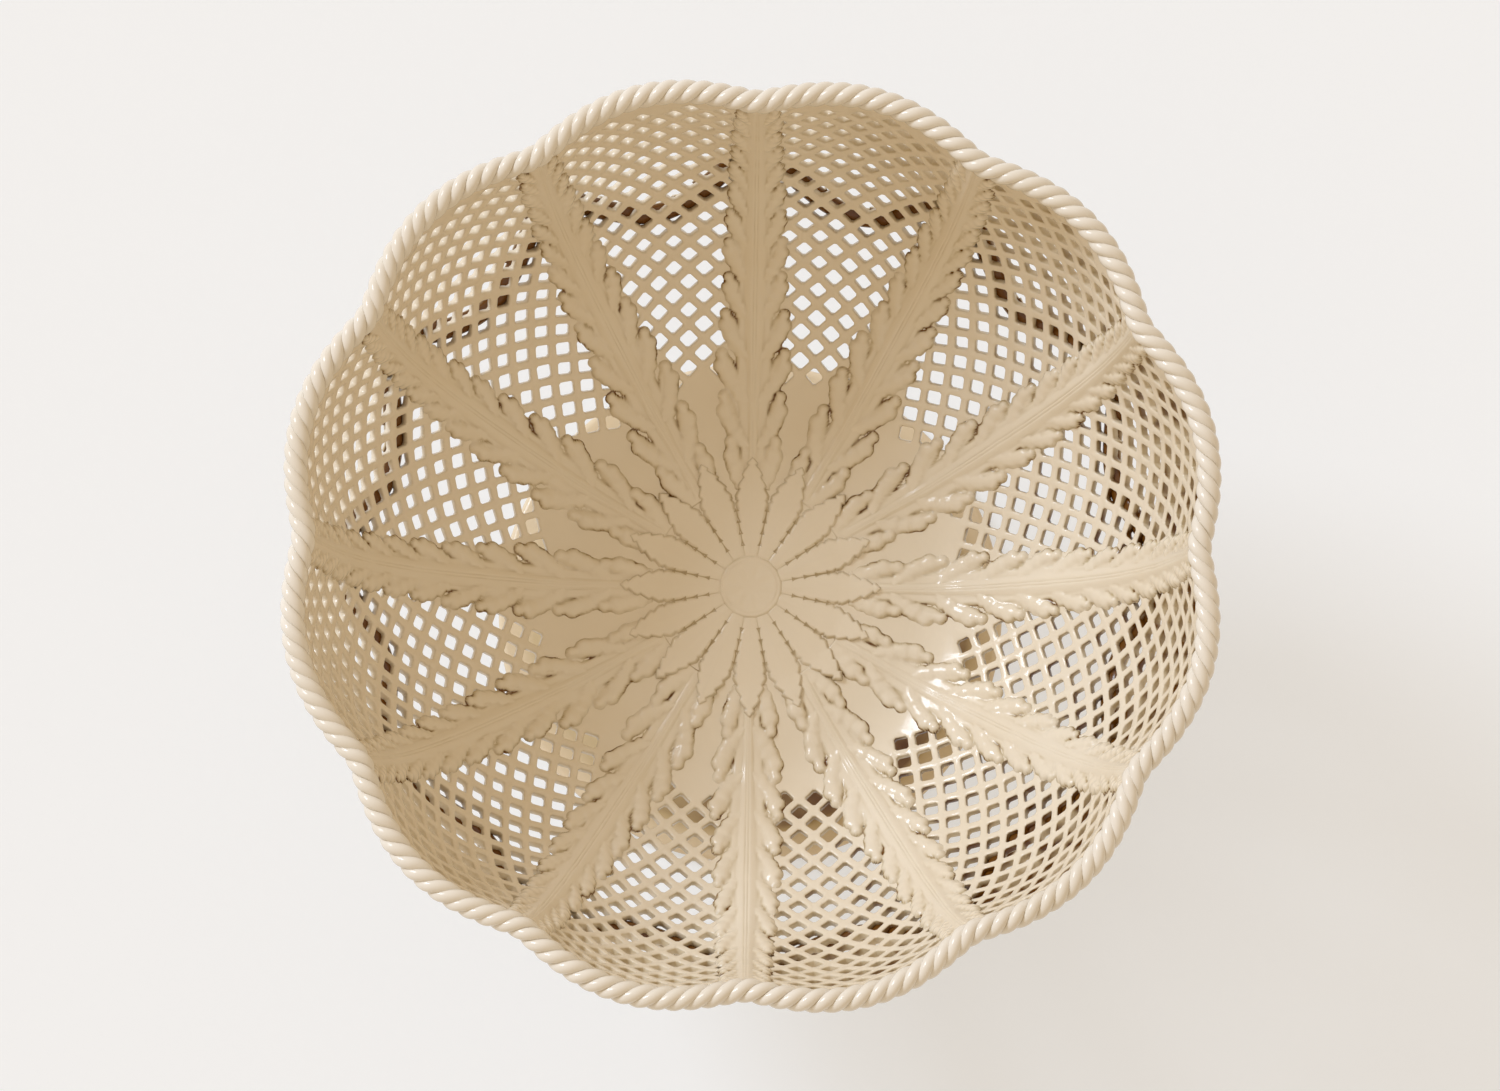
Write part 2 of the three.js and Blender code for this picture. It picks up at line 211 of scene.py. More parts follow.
# creamware: cast and sprigged cream earthenware under a clear lead glaze. It gives the eye a warm,
# slightly uneven cream under a wet gloss, which turns olive and then brown where the glaze has pooled.
# Lengths are in mm; amounts of pooled glaze go from 0 to 1
glaze = {
    "body": "#EAE3D4", "bodyWarm": "#E6DBC6", "ropeBody": "#EFEDE8", "ropeWarm": "#E2DDD1",
    # the foot's deeper cream is painted shade
    "footShadedBody": "#DCCBAC", "pool": "#A68E4F", "poolDeep": "#684113", "speck": "#5A4630",
    "roughness": 0.16, "roughnessSpread": (-0.05, 0.07), "ior": 1.5, "specular": 0.32,
    "driftSize": 41.67, "speckSpacing": 10.53, "speckCore": 0.126, "speckEdge": 0.316,
    "speckChance": 0.07, "speckStrength": 0.75,
    "poolReach": 2.2, "poolFull": 0.05, "poolNone": 0.66, "brownFrom": 0.5,
    "runSize": 7.69, "runRange": (0.35, 0.65), "thinnest": 0.45, "thickest": 1.4,
    "swellSize": 11.76, "swellHeight": 0.6, "swellStrength": 0.35,
}


def glazeMaterial(name, poolStrength, body="body", bodyWarm="bodyWarm", thinnest=glaze["thinnest"],
                  reach=glaze["poolReach"], reliefPool=True, lines=None):
    material = bpy.data.materials.new(name)
    tree = emptyTree(material)
    add = partial(addNode, tree)
    place = add("ShaderNodeTexCoord").outputs["Object"]
    # slow drift of the body's warmth, from one firing zone to the next
    drift = add("ShaderNodeTexNoise", {
        "Vector": place, "Scale": 1 / (glaze["driftSize"] * mm), "Detail": 2.0})
    base = add("ShaderNodeMix", {
        "Factor": drift, 6: linear(glaze[body]), 7: linear(glaze[bodyWarm])}, data_type="RGBA")
    # pinholes and iron specks are under a quarter of a millimetre wide, drawn coarser so they show
    speckCells = add("ShaderNodeTexVoronoi", {
        "Vector": place, "Scale": 1 / (glaze["speckSpacing"] * mm)})
    core, rim = (glaze[size] / glaze["speckSpacing"] for size in ("speckCore", "speckEdge"))
    speck = add("ShaderNodeMapRange", [
        speckCells.outputs["Distance"], core, rim, glaze["speckStrength"], 0.0])
    speckChance = add("ShaderNodeMath", [speckCells.outputs["Color"], glaze["speckChance"]],
                      operation="LESS_THAN")
    speckMask = add("ShaderNodeMath", [speck, speckChance], operation="MULTIPLY")
    specked = add("ShaderNodeMix", {
        "Factor": speckMask, 6: base.outputs[2], 7: linear(glaze["speck"])}, data_type="RGBA")
    # glaze runs into the corners and hollows before it sets; the ambient-occlusion mask that finds them
    # also paints shade into holes, twists and contact lines
    hollow = add("ShaderNodeAmbientOcclusion", {"Distance": reach * mm}, samples=6)
    amount = add("ShaderNodeMapRange", [
        hollow.outputs["AO"], glaze["poolFull"], glaze["poolNone"], poolStrength, 0.0])
    if reliefPool:
        # the modelled amount holds pooled glaze and painted shade
        modelled = add("ShaderNodeAttribute", attribute_name="glazePoolShade")
        amount = add("ShaderNodeMath", [amount, modelled.outputs["Fac"]],
                         operation="ADD", use_clamp=True)
    # the runs are uneven, thick on one side of a leaf and thin on the next
    patch = add("ShaderNodeTexNoise", {
        "Vector": place, "Scale": 1 / (glaze["runSize"] * mm), "Detail": 1.0})
    uneven = add("ShaderNodeMapRange", [patch, *glaze["runRange"], thinnest, glaze["thickest"]])
    amount = add("ShaderNodeMath", [amount, uneven], operation="MULTIPLY", use_clamp=True)
    if lines:
        amount = lines(tree, place, amount)
    thick = add("ShaderNodeMapRange", [amount, glaze["brownFrom"], 1.0])
    tint = add("ShaderNodeMix", {
        "Factor": thick, 6: linear(glaze["pool"]), 7: linear(glaze["poolDeep"])}, data_type="RGBA")
    colour = add("ShaderNodeMix", {
        "Factor": amount, 6: specked.outputs[2], 7: tint.outputs[2]}, data_type="RGBA")
    # hand-finished clay is never quite even, so its reflections waver
    swell = add("ShaderNodeTexNoise", {
        "Vector": place, "Scale": 1 / (glaze["swellSize"] * mm), "Detail": 3.0})
    bump = add("ShaderNodeBump", {
        "Height": swell, "Strength": glaze["swellStrength"], "Distance": glaze["swellHeight"] * mm})
    ends = (glaze["roughness"] + spread for spread in glaze["roughnessSpread"])
    shine = add("ShaderNodeMapRange", [drift, 0.0, 1.0, *ends])
    shader = add("ShaderNodeBsdfPrincipled", {
        "Base Color": colour.outputs[2], "Roughness": shine, "Normal": bump.outputs["Normal"],
        "IOR": glaze["ior"], "Specular IOR Level": glaze["specular"]})
    add("ShaderNodeOutputMaterial", {"Surface": shader})
    return material


# the wall: an even cream gloss, with olive glaze and painted shade inside the holes
wallGlaze = glazeMaterial("creamwareWallGlaze", 0.35)
# the leaf ribs and boss: the same gloss over moulding, with thin, broken brown outlines
reliefGlaze = glazeMaterial("creamwareReliefGlaze", 0.72, thinnest=0.1)
# the swags: dark amber glaze and painted shade where they lie on the wall and stop its holes
swagGlazeAndShade = glazeMaterial("creamwareSwagGlazeAndShade", 1.0, thinnest=1.0)
# the rope: whiter than the wall on its ridges, where the glaze is thin, and brown deep in the twist,
# from pooled glaze and painted shade
ropeGlaze = glazeMaterial("creamwareRopeGlaze", 1.0, body="ropeBody", bodyWarm="ropeWarm",
                          thinnest=0.75, reach=3.4, reliefPool=False)
# the foot: a deeper, browner cream, which is painted shade, under a gloss with more painted shade on its
# flare
footGlazeAndShade = glazeMaterial("creamwareFootGlazeAndShade", 0.5, body="footShadedBody", thinnest=1.25)
print("stage materials")

# pierced wall: each lobe starts as a flat slab, is cut with square holes and then bent to the bowl.
# Lengths are in mm, along the wall from the bowl's middle; the punch's are shares of a hole's side
lattice = {
    "pitch": 6.37, "sideAtFloor": 4.2, "sideAtRim": 3.75, "sizeSpread": 0.05, "turnWobble": 0.05,
    "lip": 0.42, "lipMiddle": 0.147, "proud": 0.35, "punchHalf": 0.5, "punchCorner": 0.36,
    "punchWidths": (1.34, 1.22, 1.07, 1.0, 1.1, 1.24, 1.32),
    "firstRow": 64.0, "lastRow": 177.5, "rowBend": 0.75,
    "hubRings": (8.0, 20.0, 31.0), "hubRadius": 40.0, "gridStep": 3.6, "stepsAcross": 16,
    "reach": 190.0, "middleAlong": 110.0, "turnSpread": 1.2, "shiftSpread": 1.6, "seed": 7,
    # the holes' glaze amount and its browner side are painted shade
    "underLeaf": 2.9, "holeShadePool": 0.78, "poolFrom": 0.05, "bareEdge": 0.4, "shadedSide": -25.0,
    "weld": 0.002,
}
# half the width of a leaf rib, by the distance along the wall
leafHalf = {
    "at": (36.0, 44.0, 52.0, 60.0, 70.0, 82.0, 98.0, 140.0, 170.0, 182.0),
    "half": (7.8, 8.8, 9.9, 10.8, 10.5, 9.7, 9.0, 7.5, 6.3, 5.6),
}


def leafHalfWidth(s):
    return np.interp(s, leafHalf["at"], leafHalf["half"])


def rowLength(u, level):
    # the distance along the wall of a flat spot: rows of holes sag a little away from the ribs
    return level + lattice["rowBend"] * (np.sqrt(level * level + u * u) - level)


def levelOf(u, s):
    # the flat height that lies at a distance along the wall, found by halving
    low, high = np.zeros_like(s), s + 1.0
    for _ in range(40):
        middle = (low + high) / 2
        short = rowLength(u, middle) < s
        low, high = np.where(short, middle, low), np.where(short, high, middle)
    return (low + high) / 2


def slabMesh():
    # a closed flat slab, as wide as one lobe: x across, y along, z through the wall
    levels = int(round((wallEnd - lattice["hubRadius"]) / lattice["gridStep"]))
    along = np.linspace(lattice["hubRadius"], wallEnd, levels + 1)
    across = np.linspace(0, 1, lattice["stepsAcross"] + 1)
    s, share = np.meshgrid(along, across, indexing="ij")
    u = share * wallRadius(s) * lobePitch
    level = levelOf(u, s)
    rows, columns = s.shape
    flat = np.stack([u, level, 0 * u], -1).reshape(-1, 3)
    points = np.vstack([flat, flat - [0, 0, bowl["wallThickness"]]])
    count = rows * columns
    index = np.arange(count).reshape(rows, columns)
    quads = np.stack([index[:-1, :-1], index[:-1, 1:], index[1:, 1:], index[1:, :-1]], -1)
    quads = quads.reshape(-1, 4)
    faces = quads.tolist() + (quads[:, ::-1] + count).tolist()
    ring = np.concatenate([index[0, :], index[1:, -1], index[-1, -2::-1], index[-2:0:-1, 0]])
    for i, here in enumerate(ring):
        after = ring[(i + 1) % len(ring)]
        faces.append((here, here + count, after + count, after))
    return meshFrom("panelSlab", points, faces)


def pierceableField():
    # the part of a panel that the leaves leave free, as one flat sheet
    along = np.linspace(lattice["firstRow"], lattice["lastRow"], 60)
    near = leafHalfWidth(along) - lattice["underLeaf"]
    far = wallRadius(along) * lobePitch - leafHalfWidth(along) + lattice["underLeaf"]
    points = [(u, float(levelOf(np.array([u]), np.array([s]))[0]), 0.0)
              for s, n, f in zip(along, near, far) for u in (n, f)]
    faces = [(2 * i, 2 * i + 1, 2 * i + 3, 2 * i + 2) for i in range(len(along) - 1)]
    return meshFrom("pierceableField", points, faces)


def punchMesh():
    # the punch that cuts one hole, one unit wide: wider at both faces, for the rounded lips
    thick, lip, proud = bowl["wallThickness"], lattice["lip"], lattice["proud"]
    levels = (proud, 0.0, -lattice["lipMiddle"], -lip, lip - thick, -thick, -thick - proud)
    half, corner = lattice["punchHalf"], lattice["punchCorner"]
    outline = [(half, -corner), (half, corner), (corner, half), (-corner, half),
               (-half, corner), (-half, -corner), (-corner, -half), (corner, -half)]
    points = [(x * width, y * width, z) for z, width in zip(levels, lattice["punchWidths"])
              for x, y in outline]
    return meshFrom("holePunch", points, tubeFaces(len(levels), len(outline)))


def latticeTree():
    tree, given, out = nodeTree("piercedPanel", {
        "Hole Pitch": lattice["pitch"], "Hole Side At Floor": lattice["sideAtFloor"],
        "Hole Side At Rim": lattice["sideAtRim"], "First Row": lattice["firstRow"],
        "Last Row": lattice["lastRow"], "Reach": lattice["reach"], "Lattice Turn": 0.0,
        "Shift Across": 0.0, "Shift Along": 0.0, "Seed": 1,
        "Punch": bpy.types.Object, "Field": bpy.types.Object})
    ask, add = given.outputs, partial(addNode, tree)
    # a square grid of hole centres, turned to stand on its corners and lifted off the slab
    steps = add("ShaderNodeMath", [ask["Reach"], ask["Hole Pitch"]], operation="DIVIDE")
    count = add("ShaderNodeMath", [steps], operation="ROUND")
    size = add("ShaderNodeMath", [count, ask["Hole Pitch"]], operation="MULTIPLY")
    corners = add("ShaderNodeMath", [count, 1.0], operation="ADD")
    grid = add("GeometryNodeMeshGrid", {
        "Size X": size, "Size Y": size, "Vertices X": corners, "Vertices Y": corners})
    turn = add("ShaderNodeMath", [ask["Lattice Turn"], pi / 4], operation="ADD")
    spin = add("ShaderNodeCombineXYZ", {"Z": turn})
    middle = add("ShaderNodeMath", [ask["Shift Along"], lattice["middleAlong"]], operation="ADD")
    move = add("ShaderNodeCombineXYZ", [ask["Shift Across"], middle, 1.0])
    laid = add("GeometryNodeTransform", {"Geometry": grid, "Translation": move, "Rotation": spin})
    # only the centres that see the field between the leaves below them are kept
    field = add("GeometryNodeObjectInfo", {"Object": ask["Field"]})
    probe = add("GeometryNodeRaycast", {
        "Target Geometry": field.outputs["Geometry"], "Ray Direction": (0, 0, -1.0),
        "Ray Length": 5.0})
    missed = add("FunctionNodeBooleanMath", [probe.outputs["Is Hit"]], operation="NOT")
    kept = add("GeometryNodeDeleteGeometry", {"Geometry": laid, "Selection": missed}, domain="POINT")
    dropped = add("GeometryNodeTransform", {"Geometry": kept, "Translation": (0, 0, -1.0)})
    # the holes are smaller towards the rim, and no two are quite alike
    place = add("GeometryNodeInputPosition")
    where = add("ShaderNodeSeparateXYZ", [place])
    side = add("ShaderNodeMapRange", [
        where.outputs["Y"], ask["First Row"], ask["Last Row"], ask["Hole Side At Floor"],
        ask["Hole Side At Rim"]])
    vary = add("FunctionNodeRandomValue", {
        2: 1 - lattice["sizeSpread"], 3: 1 + lattice["sizeSpread"], "Seed": ask["Seed"]})
    width = add("ShaderNodeMath", [side, vary.outputs[1]], operation="MULTIPLY")
    scale = add("ShaderNodeCombineXYZ", [width, width, 1.0])
    wobble = add("FunctionNodeRandomValue", {
        2: -lattice["turnWobble"], 3: lattice["turnWobble"], "Seed": ask["Seed"]})
    holeTurn = add("ShaderNodeMath", [turn, wobble.outputs[1]], operation="ADD")
    holeSpin = add("ShaderNodeCombineXYZ", {"Z": holeTurn})
    punch = add("GeometryNodeObjectInfo", {"Object": ask["Punch"]})
    punches = add("GeometryNodeInstanceOnPoints", {
        "Points": dropped, "Instance": punch.outputs["Geometry"], "Rotation": holeSpin,
        "Scale": scale})
    solid = add("GeometryNodeRealizeInstances", {"Geometry": punches})
    cut = add("GeometryNodeMeshBoolean", {
        "Mesh 1": ask["Geometry"], "Mesh 2": solid}, operation="DIFFERENCE", solver="MANIFOLD")
    return glazedEnd(tree, out, cut, wallGlaze)


def bentPanel(flatMesh, ribAngle, side):
    # takes a cut slab's points from the flat to their place on the wall, without the faces that
    # its neighbours and the hub would cover
    flat = meshPoints(flatMesh)
    s = rowLength(flat[:, 0], flat[:, 1])
    angle = ribAngle + side * flat[:, 0] / np.maximum(wallRadius(s), 1)
    bent = wallPoint(angle, np.minimum(s, wallEnd), flat[:, 2])
    edge = (flat[:, 0] < 1e-3) | (flat[:, 0] > wallRadius(s) * lobePitch - 1e-3)
    hub = s < lattice["hubRadius"] + 1e-3
    faces = []
    for face in flatMesh.polygons:
        corners = list(face.vertices)
        if all(edge[corners]) and np.ptp(flat[corners, 0] / wallRadius(s[corners])) < 1e-4:
            continue
        if all(hub[corners]):
            continue
        faces.append(corners[::-1] if side > 0 else corners)
    depth = -flat[:, 2]
    # painted shade: olive glaze colour inside the holes, between their lips, browner on the side of the
    # bowl away from the key lamp
    thick = bowl["wallThickness"]
    strength = lattice["holeShadePool"] * (0.5 + 0.5 * np.cos(angle - radians(lattice["shadedSide"])))
    runOut = 1 - smoothStep(thick - lattice["bareEdge"], thick, depth)
    return bent, faces, strength * smoothStep(lattice["poolFrom"], lattice["lip"], depth) * runOut


def hubDisc():
    # the level middle of the floor, with its edge on the panels' first points
    steps = bowl["lobes"] * lattice["stepsAcross"]
    rings = lattice["hubRings"] + (lattice["hubRadius"],)
    points, faces = [], []
    for lift in (0.0, -bowl["wallThickness"]):
        base = len(points)
        points.append((0, 0, (bowl["floorTop"] + lift) * mm))
        for radius in rings:
            for k in range(steps):
                angle = firstRib + 2 * pi * k / steps
                points.append((radius * cos(angle) * mm, radius * sin(angle) * mm,
                               (bowl["floorTop"] + lift) * mm))
        flip = lift < 0
        for k in range(steps):
            m = (k + 1) % steps
            ringFaces = [(base, base + 1 + k, base + 1 + m)]
            for j in range(len(rings) - 1):
                here, after = base + 1 + j * steps, base + 1 + (j + 1) * steps
                ringFaces.append((here + k, after + k, after + m, here + m))
            faces += [f[::-1] if flip else f for f in ringFaces]
    return points, faces


def piercedWall():
    tree = latticeTree()
    slab = newObject("panelSlab", slabMesh())
    punch = newObject("holePunch", punchMesh())
    field = newObject("pierceableField", pierceableField())
    rng = np.random.default_rng(lattice["seed"])
    points, faces = hubDisc()
    # pooled glaze and painted shade at each point
    poolShadeShares = [0.0] * len(points)
    for i in range(bowl["lobes"]):
        # every second panel is mirrored, so that neighbours meet point to point
        own = i % 2 == 0
        cut = growMesh(slab, tree, {
            "Lattice Turn": radians(rng.uniform(-1, 1) * lattice["turnSpread"]),
            "Shift Across": float(rng.uniform(-1, 1) * lattice["shiftSpread"]),
            "Shift Along": float(rng.uniform(-1, 1) * lattice["shiftSpread"]),
            "Seed": i + 1, "Punch": punch, "Field": field})
        bent, panelFaces, pool = bentPanel(
            cut, firstRib + (i if own else i + 1) * lobePitch, 1 if own else -1)
        base = len(points)
        points += [tuple(p) for p in bent]
        poolShadeShares += pool.tolist()
        faces += [[base + v for v in f] for f in panelFaces]
        bpy.data.meshes.remove(cut)
    mesh = meshFrom("wallPierced", points, faces, poolShadeShares)
    # the panels are sewn together along the rib lines and to the hub
    shell = bmesh.new()
    shell.from_mesh(mesh)
    bmesh.ops.remove_doubles(shell, verts=shell.verts, dist=lattice["weld"] * mm)
    bmesh.ops.recalc_face_normals(shell, faces=shell.faces)
    print("open edges in the wall", sum(1 for e in shell.edges if len(e.link_faces) != 2))
    shell.to_mesh(mesh)
    shell.free()
    for helper in (slab, punch, field):
        bpy.data.objects.remove(helper)
    return mesh


wallNodes = ["bowl_floor"] + [f"{band}_lattice_{i:02d}" for band in ("lower", "upper")
                              for i in range(1, 13)]
finishPiece("wallPierced", piercedWall(), wallNodes, wallGlaze)
print("stage wall")


# a relief stands on a low fillet of glaze and is edged by a thin pool, in mm
fillet = {"reach": 0.4, "height": 0.12, "pool": 0.3, "poolOut": 0.12, "spread": 0.5}


def reliefMesh(name, u, s, lift, edge, pool, place, seat):
    # a raised relief from a grid of heights, closed below. edge is how far inside the relief's
    # outline each grid point lies; the outline itself runs where it is nought, plus the fillet
    low = fillet["height"] * np.clip(1 + edge / fillet["reach"], 0, 1)
    lift = np.where(edge > 0, lift, low)
    edge = edge + fillet["reach"]
    inside = edge > 0
    # grid points just outside are drawn in to where the outline crosses the grid
    spot = np.stack([u, s], -1)
    total, reach = np.zeros(spot.shape), np.zeros(inside.shape)
    for di in (-1, 0, 1):
        for dj in (-1, 0, 1):
            if di == 0 and dj == 0:
                continue
            near = np.roll(inside, (di, dj), (0, 1))
            nearEdge = np.roll(edge, (di, dj), (0, 1))
            nearSpot = np.roll(spot, (di, dj), (0, 1))
            cross = np.clip(nearEdge / np.maximum(nearEdge - edge, 1e-9), 0, 1)[..., None]
            use = (near & ~inside)[..., None]
            total += np.where(use, nearSpot + (spot - nearSpot) * cross, 0)
            reach += use[..., 0]
    outline = (reach > 0) & ~inside
    spot[outline] = total[outline] / reach[outline][:, None]
    height = np.where(inside, lift, 0.0)
    # every grid square with two or more corners inside becomes a face, above and below
    keep = inside[:-1, :-1].astype(int) + inside[1:, :-1] + inside[1:, 1:] + inside[:-1, 1:] >= 2
    first, last = slice(0, -1), slice(1, None)
    corners = [(first, first), (first, last), (last, last), (last, first)]
    used = np.zeros(inside.shape, dtype=bool)
    for a, b in corners:
        used[a, b] |= keep
    count = int(used.sum())
    index = -np.ones(inside.shape, dtype=int)
    index[used] = np.arange(count)
    quads = np.stack([index[a, b][keep] for a, b in corners], -1)
    sides = dict.fromkeys(pair for quad in quads.tolist() for pair in zip(quad, quad[1:] + quad[:1]))
    rim = [(a, b) for a, b in sides if (b, a) not in sides]
    across, along = spot[used].T
    top = place(across, along, height[used])
    under = place(across, along, np.full(count, -seat))
    faces = quads.tolist() + (quads[:, ::-1] + count).tolist()
    faces += [(b, a, a + count, b + count) for a, b in rim]
    return meshFrom(name, np.vstack([top, under]), faces, np.tile(pool[used], 2))


def blurred(grid, passes):
    # each spot moved towards its four neighbours, passes times over
    for _ in range(passes):
        grid = (np.roll(grid, 1, 0) + np.roll(grid, -1, 0) + np.roll(grid, 1, 1)
                + np.roll(grid, -1, 1) + 2 * grid) / 6
    return grid


def outlinePool(edge):
    # pooled glaze along the outline
    return fillet["pool"] * np.exp(-((edge + fillet["poolOut"]) / fillet["spread"]) ** 2)


def crevicePool(lift, edge, depth):
    # pooled glaze wherever a spot lies below its surroundings, thickest at depth mm
    raised = np.where(edge > 0, lift, 0)
    sunk = blurred(raised, 6) - raised
    return np.clip(sunk / depth, 0, 0.5) + outlinePool(edge)


# leaf ribs: press-moulded acanthus fronds. Each has a raised spine with two engraved lines, and on
# either side leaflets swept towards the rim, each a vein with four lobes. Lengths are in mm; across
# and size are shares of the leaf's half width and of the spacing of the leaflets
frond = {
    "start": 29.5, "end": 182.7, "step": 0.46, "fineStep": 0.24, "fineReach": 2.0, "reach": 13.4,
    "leaflets": 13, "firstRoot": 28.2, "firstSpacing": 14.0, "spacingLoss": 0.42,
    "spineAt": (40.0, 62.0, 95.0, 182.0), "spineHalf": (1.3, 1.6, 2.2, 1.3),
    "spineHeight": 1.15, "lineDepth": 0.16, "lineAt": 0.24, "lineHalf": 0.2,
    "across": (0.64, 0.88, 1.05, 1.0), "along": (0.32, 0.57, 0.84, 1.13),
    "baseShare": (0.0, 0.12, 0.3, 0.55), "size": (0.125, 0.155, 0.165, 0.1),
    "rise": (0.4, 0.5, 0.6, 0.5), "bow": 0.06, "baseHalf": 0.4,
    "veinStart": 1.4, "veinEnd": (0.84, 1.0), "veinHalf": 0.8, "veinRise": 0.5,
    "sheet": 0.6, "overhang": 0.25, "seat": 0.35, "crevice": 0.5,
    "rootSpread": 0.5, "tipSpread": 0.3, "widthSpread": (0.95, 1.04),
    "sizeSpread": (0.92, 1.08), "riseSpread": (0.85, 1.15),
    "nearAndFar": (48.0, 88.0), "bold": (1.25, 1.0), "web": (0.95, 1.3),
    "core": (0.42, 0.52), "shoulder": (1.5, 3.6), "spineSoft": 1.2, "sheetSoft": (-0.05, 0.4),
    "widthPower": 1.1, "parting": (0.55, 0.95), "domeSpread": 0.2, "domePower": 0.7,
    "baseRise": 0.45, "tipRise": 0.8, "risePower": 1.5, "lowRoot": 0.25, "fullHeight": (29.0, 39.0),
}


def outwards(s, pair):
    # the leaflets stand apart and bold near the rosette, and merge into a band further out
    return np.interp(s, frond["nearAndFar"], pair)


def leafletLobes(rng, root, spacing):
    # base, tip, half width and height of the four lobes of one leaflet, then of its vein
    width = leafHalfWidth(root + spacing * 0.7) * rng.uniform(*frond["widthSpread"])
    bold = outwards(root, frond["bold"])
    veinStart = np.array([frond["veinStart"], root])
    veinEnd = np.array([width * frond["veinEnd"][0], root + frond["veinEnd"][1] * spacing])
    for j in range(4):
        radius = frond["size"][j] * spacing * rng.uniform(*frond["sizeSpread"])
        base = veinStart + (veinEnd - veinStart) * frond["baseShare"][j]
        aside = rng.uniform(-frond["tipSpread"], frond["tipSpread"])
        tip = np.array([width * frond["across"][j] - radius,
                        root + spacing * frond["along"][j] + aside])
        yield base, tip, radius, frond["rise"][j] * bold * rng.uniform(*frond["riseSpread"])
    yield veinStart, veinEnd, frond["veinHalf"], frond["veinRise"] * bold


def frondField(rng):
    # the grid of one rib, finer at its spine, with its height and its distance inside the outline
    fine = np.arange(0, frond["fineReach"], frond["fineStep"])
    coarse = np.arange(frond["fineReach"], frond["reach"], frond["step"])
    side = np.concatenate([fine, coarse])
    columns = np.concatenate([-side[:0:-1], side])
    s, u = np.meshgrid(np.arange(frond["start"], frond["end"], frond["step"]), columns, indexing="ij")
    edge = np.full(u.shape, -9.0)
    lift = np.zeros(u.shape)
    for way in (-1, 1):
        root = frond["firstRoot"] + rng.uniform(-frond["rootSpread"], frond["rootSpread"])
        for k in range(frond["leaflets"]):
            spacing = frond["firstSpacing"] - frond["spacingLoss"] * k
            webbing = outwards(root, frond["web"])
            for base, tip, radius, rise in leafletLobes(rng, root, spacing):
                path = tip - base
                du, ds = way * u - base[0], s - base[1]
                t = np.clip((du * path[0] + ds * path[1]) / (path @ path), 0, 1)
                bow = frond["bow"] * spacing * np.sin(pi * t)
                away = np.hypot(du - t * path[0], ds - t * path[1] + bow)
                room = frond["baseHalf"] + (radius - frond["baseHalf"]) * t ** frond["widthPower"]
                # near the spine the lobes are webbed together; at the tips they part
                web = frond["overhang"] + webbing * (1 - smoothStep(*frond["parting"], t))
                edge = np.maximum(edge, room - away + web)
                dome = np.clip(1 - (away / (room + frond["domeSpread"])) ** 2, 0, 1)
                dome = dome ** frond["domePower"]
                grown = frond["baseRise"] + frond["tipRise"] * t ** frond["risePower"]
                lift = np.maximum(lift, (frond["sheet"] + dome * rise * grown) * (dome > 0))
            root += spacing
    # the leaf's own sheet joins the leaflets along the spine
    edge = np.maximum(edge, outwards(s, frond["core"]) * leafHalfWidth(s) - np.abs(u))
    lift = blurred(np.maximum(lift, frond["sheet"] * smoothStep(*frond["sheetSoft"], edge)), 1)
    half = np.interp(s, frond["spineAt"], frond["spineHalf"])
    spine = half - np.abs(u)
    edge = np.maximum(edge, spine)
    ridge = smoothStep(-outwards(s, frond["shoulder"]), frond["spineSoft"], spine)
    lift = np.maximum(lift, frond["spineHeight"] * ridge)
    lift -= frond["lineDepth"] * np.exp(-((np.abs(u) - frond["lineAt"] * half) / frond["lineHalf"]) ** 2)
    # it starts low, because the rosette's leaves lie against its root
    low = frond["lowRoot"]
    lift = np.where(edge > 0, lift * (low + (1 - low) * smoothStep(*frond["fullHeight"], s)), 0)
    edge = np.minimum(edge, frond["reach"] - 0.5 - np.abs(u))
    edge[[0, -1], :] = np.minimum(edge[[0, -1], :], -0.1)
    return u, s, lift, edge


def frondPieces():
    for i in range(bowl["lobes"]):
        rng = np.random.default_rng(40 + i)
        u, s, lift, edge = frondField(rng)
        pool = crevicePool(lift, edge, frond["crevice"])
        ribAngle = firstRib + i * lobePitch

        def place(across, along, height):
            return wallPoint(ribAngle + across / wallRadius(along), along, height)

        # u grows counter-clockwise, so the quads are turned to face inwards
        mesh = reliefMesh(f"leafRib{i + 1:02d}", u[:, ::-1], s, lift[:, ::-1], edge[:, ::-1],
                          pool[:, ::-1], place, frond["seat"])
        finishPiece(f"leafRib{i + 1:02d}", mesh, [f"leaf_rib_{i + 1:02d}"],
                    reliefGlaze)


frondPieces()
print("stage fronds")

# rosette: flat spear leaves with toothed edges, pressed in one sprig round a low boss, in mm
rosette = {
    "leaves": 16, "inner": 9.0, "tip": 39.0, "halfReach": 5.4, "step": 0.36, "gap": 0.05,
    "toothPitch": 3.5, "toothDepth": 0.8, "toothBack": 0.82, "fuller": 0.25, "touchTo": 19.0,
    "groove": 0.22, "grooveBarb": 0.45, "sheet": 0.85, "vein": 0.2, "tipRise": 0.8, "seat": 0.3,
    "pool": 1.2, "stretch": 0.02, "turnShare": 0.35, "seed": 5, "toothPower": 1.4, "barbPower": 5,
    "toothedFrom": (12.0, 20.0), "groovedFrom": (12.0, 24.0), "barbedFrom": (10.0, 13.0),
    "tipFrom": (27.0, 36.0), "pooledFrom": (20.0, 27.0), "edgeSoft": (-0.2, 0.5),
    "lowRoot": 0.35, "fullHeight": (10.0, 25.0),
    "at": (9.0, 20.0, 24.5, 27.5, 30.6, 34.6, 37.0, 38.5, 39.0),
    "half": (2.2, 4.3, 4.9, 4.7, 4.0, 2.7, 1.6, 0.7, 0.2),
}
# the brown line in each groove: where it begins and ends, how it widens, and its barbs, in mm
barb = {"from": 9.2, "full": 12.5, "fade": 23.0, "to": 27.0, "widenFrom": 10.0, "widenTo": 24.0,
        "thin": 0.05, "wide": 0.2, "length": 0.6, "core": -0.08, "edge": 0.12, "amount": 0.62}


